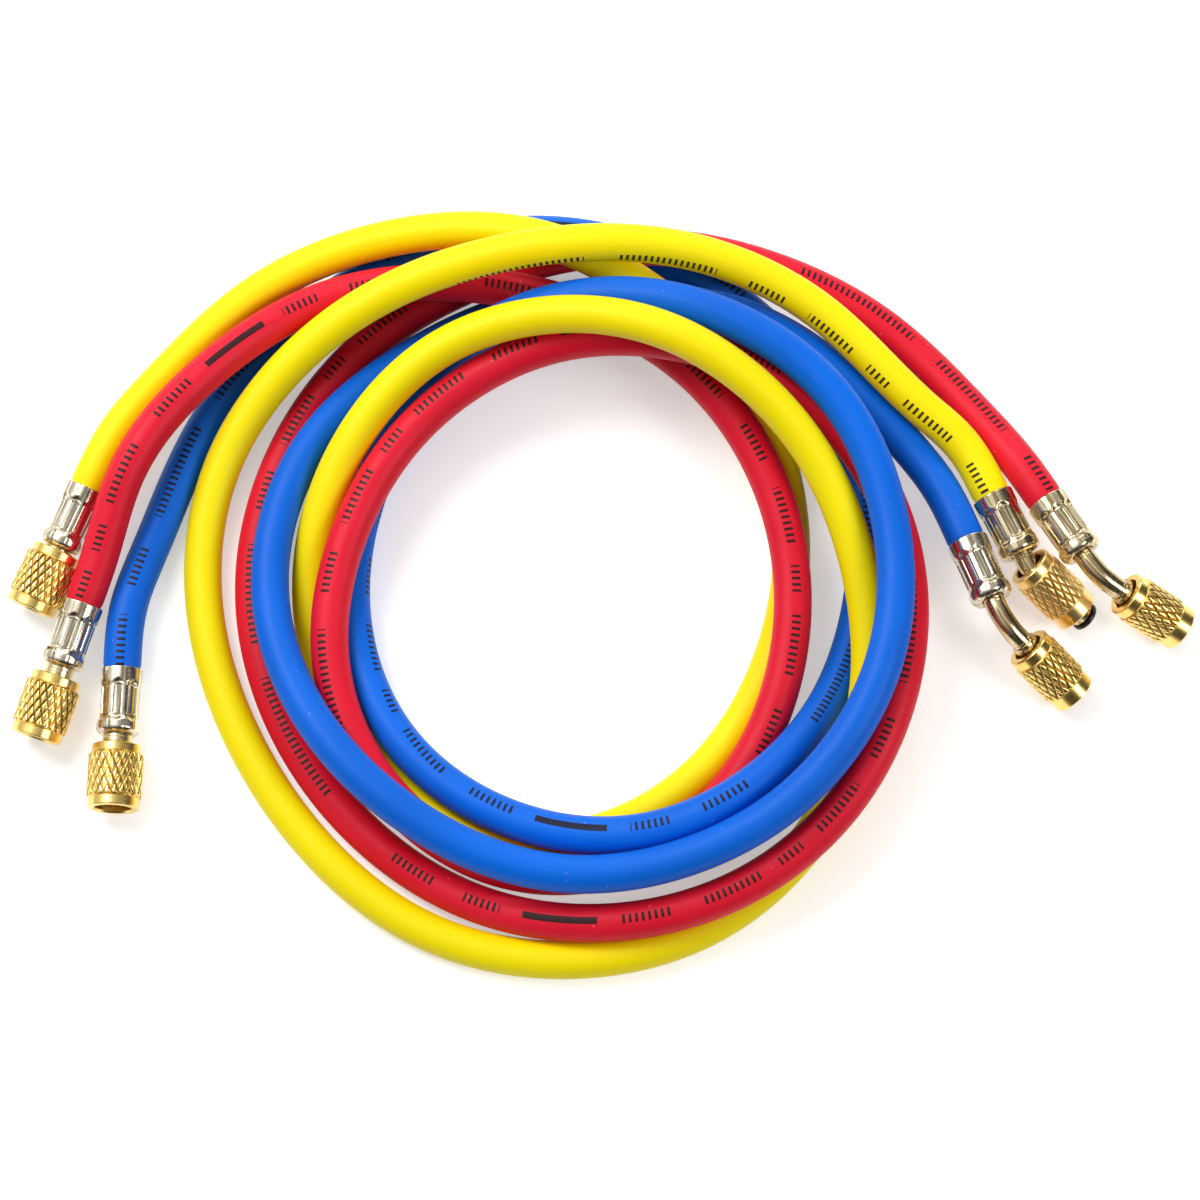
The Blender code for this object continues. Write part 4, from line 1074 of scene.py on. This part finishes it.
# -------------------- finishes
RUBBERS = {
    "yellow": rubber("yellow_skin", (1.0, 0.84, 0.0), (0.98, 0.78, 0.0), (0.55, 0.36, 0.0)),
    "red": rubber("red_skin", (0.8, 0.012, 0.036), (0.7, 0.006, 0.024), (0.9, 0.35, 0.35)),
    "blue": rubber("blue_skin", (0.0, 0.145, 0.76), (0.0, 0.12, 0.64), (0.25, 0.45, 0.9)),
}
BRIGHT_PLATE = plated("bright_nickel", (0.9, 0.82, 0.67), (0.74, 0.64, 0.47), 0.14, (0.3, 0.24, 0.15))
WARM_PLATE = plated("warm_nickel", (0.88, 0.77, 0.52), (0.68, 0.55, 0.31), 0.14, (0.28, 0.2, 0.09))
STEM_PLATE = plated("stem_plate", (0.86, 0.72, 0.46), (0.62, 0.46, 0.22), 0.12, (0.26, 0.16, 0.05))
NECK_BRASS = turned_brass("neck_brass", (0.84, 0.73, 0.46), (0.72, 0.58, 0.3), 0.16, (0.3, 0.2, 0.08))
NUT_BRASS = turned_brass("nut_brass", (0.98, 0.72, 0.25), (0.91, 0.6, 0.15), 0.18, (0.3, 0.13, 0.015))
DULL_BRASS = turned_brass("dull_brass", (0.96, 0.7, 0.3), (0.88, 0.59, 0.2), 0.25, (0.32, 0.15, 0.03))
GASKET_RUBBER = moulded_rubber("gasket_rubber")

# -------------------- pieces
for colour in ROUTES:
    left, right = LEFT[colour], RIGHT[colour]
    hose, centres = add_hose(colour, lines[colour], left, right, RUBBERS[colour])
    dress(hose, "hoses", colour + "_rubber", colour + "_hose")
    add_ferrule(colour, "straight", left, BRIGHT_PLATE)
    add_stem(colour, "straight", left, NECK_BRASS)
    add_gasket(colour, "straight", left, STRAIGHT_NUT_BACK, GASKET_RUBBER)
    ferrule = add_ferrule(colour, "bent", right, BRIGHT_PLATE if colour == "blue" else WARM_PLATE)
    stem = add_stem(colour, "bent", right, STEM_PLATE)
    gasket = add_gasket(colour, "bent", right, BENT_NUT_BACK, GASKET_RUBBER)
    depressor = add_depressor(colour, right, NECK_BRASS)
    add_nut(colour, "straight", left.frame(STRAIGHT_BACK[colour]), STRAIGHT_NUT, NUT_BRASS)
    back = leaned_nut_frame(right) if colour == "yellow" else right.frame(BENT_NUT_BACK)
    add_nut(colour, "bent", back, BENT_NUT, DULL_BRASS if colour == "yellow" else NUT_BRASS)

# -------------------- floor and light
floor_mesh = bpy.data.meshes.new("floor")
corners = [(x * FLOOR_REACH, y * FLOOR_REACH, 0.0) for x, y in ((-1, -1), (1, -1), (1, 1), (-1, 1))]
floor_mesh.from_pydata(corners, [], [(0, 1, 2, 3)])
floor = bpy.data.objects.new("floor", floor_mesh)
bpy.context.scene.collection.objects.link(floor)
paper = Nodes("paper")
paper.shader.inputs["Base Color"].default_value = (0.9, 0.895, 0.885, 1.0)
paper.shader.inputs["Roughness"].default_value = 0.85
paper.shader.inputs["Specular IOR Level"].default_value = 0.1
rays = paper.node("ShaderNodeLightPath")
seen = paper.math("MAXIMUM", rays.outputs["Is Camera Ray"], rays.outputs["Is Glossy Ray"])
paper.shader.inputs["Emission Color"].default_value = (1.0, 0.995, 0.985, 1.0)
paper.drive("Emission Strength", paper.math("MULTIPLY", seen, FLOOR_GLOW))
floor_mesh.materials.append(paper.material)

world = bpy.data.worlds.new("studio")
world.use_nodes = True
bpy.context.scene.world = world
tree = world.node_tree
backdrop = tree.nodes["Background"]
backdrop.inputs["Strength"].default_value = SKY_STRENGTH
facing = tree.nodes.new("ShaderNodeVectorMath")
facing.operation = "DOT_PRODUCT"
facing.inputs[1].default_value = SKY_TOWARD
shade = tree.nodes.new("ShaderNodeValToRGB")
for spot, (place, grey) in zip(shade.color_ramp.elements, SKY_STOPS):
    spot.position = place
    spot.color = (grey, grey, grey, 1.0)
around = tree.nodes.new("ShaderNodeTexCoord")
tree.links.new(around.outputs["Generated"], facing.inputs[0])
tree.links.new(facing.outputs["Value"], shade.inputs["Fac"])
tree.links.new(shade.outputs["Color"], backdrop.inputs["Color"])


def softbox(name, place, size, watts):
    """A rectangular soft light that faces the hoses."""
    lamp = bpy.data.lights.new(name, "AREA")
    lamp.shape = "RECTANGLE"
    lamp.size, lamp.size_y = size
    lamp.energy = watts
    made = bpy.data.objects.new(name, lamp)
    made.location = place
    made.rotation_euler = (Vector(place) - TARGET).to_track_quat("Z", "Y").to_euler()
    bpy.context.scene.collection.objects.link(made)


for name, (place, size, watts) in LAMPS.items():
    softbox(name, place, size, watts)

bpy.context.scene.view_settings.view_transform = "Standard"
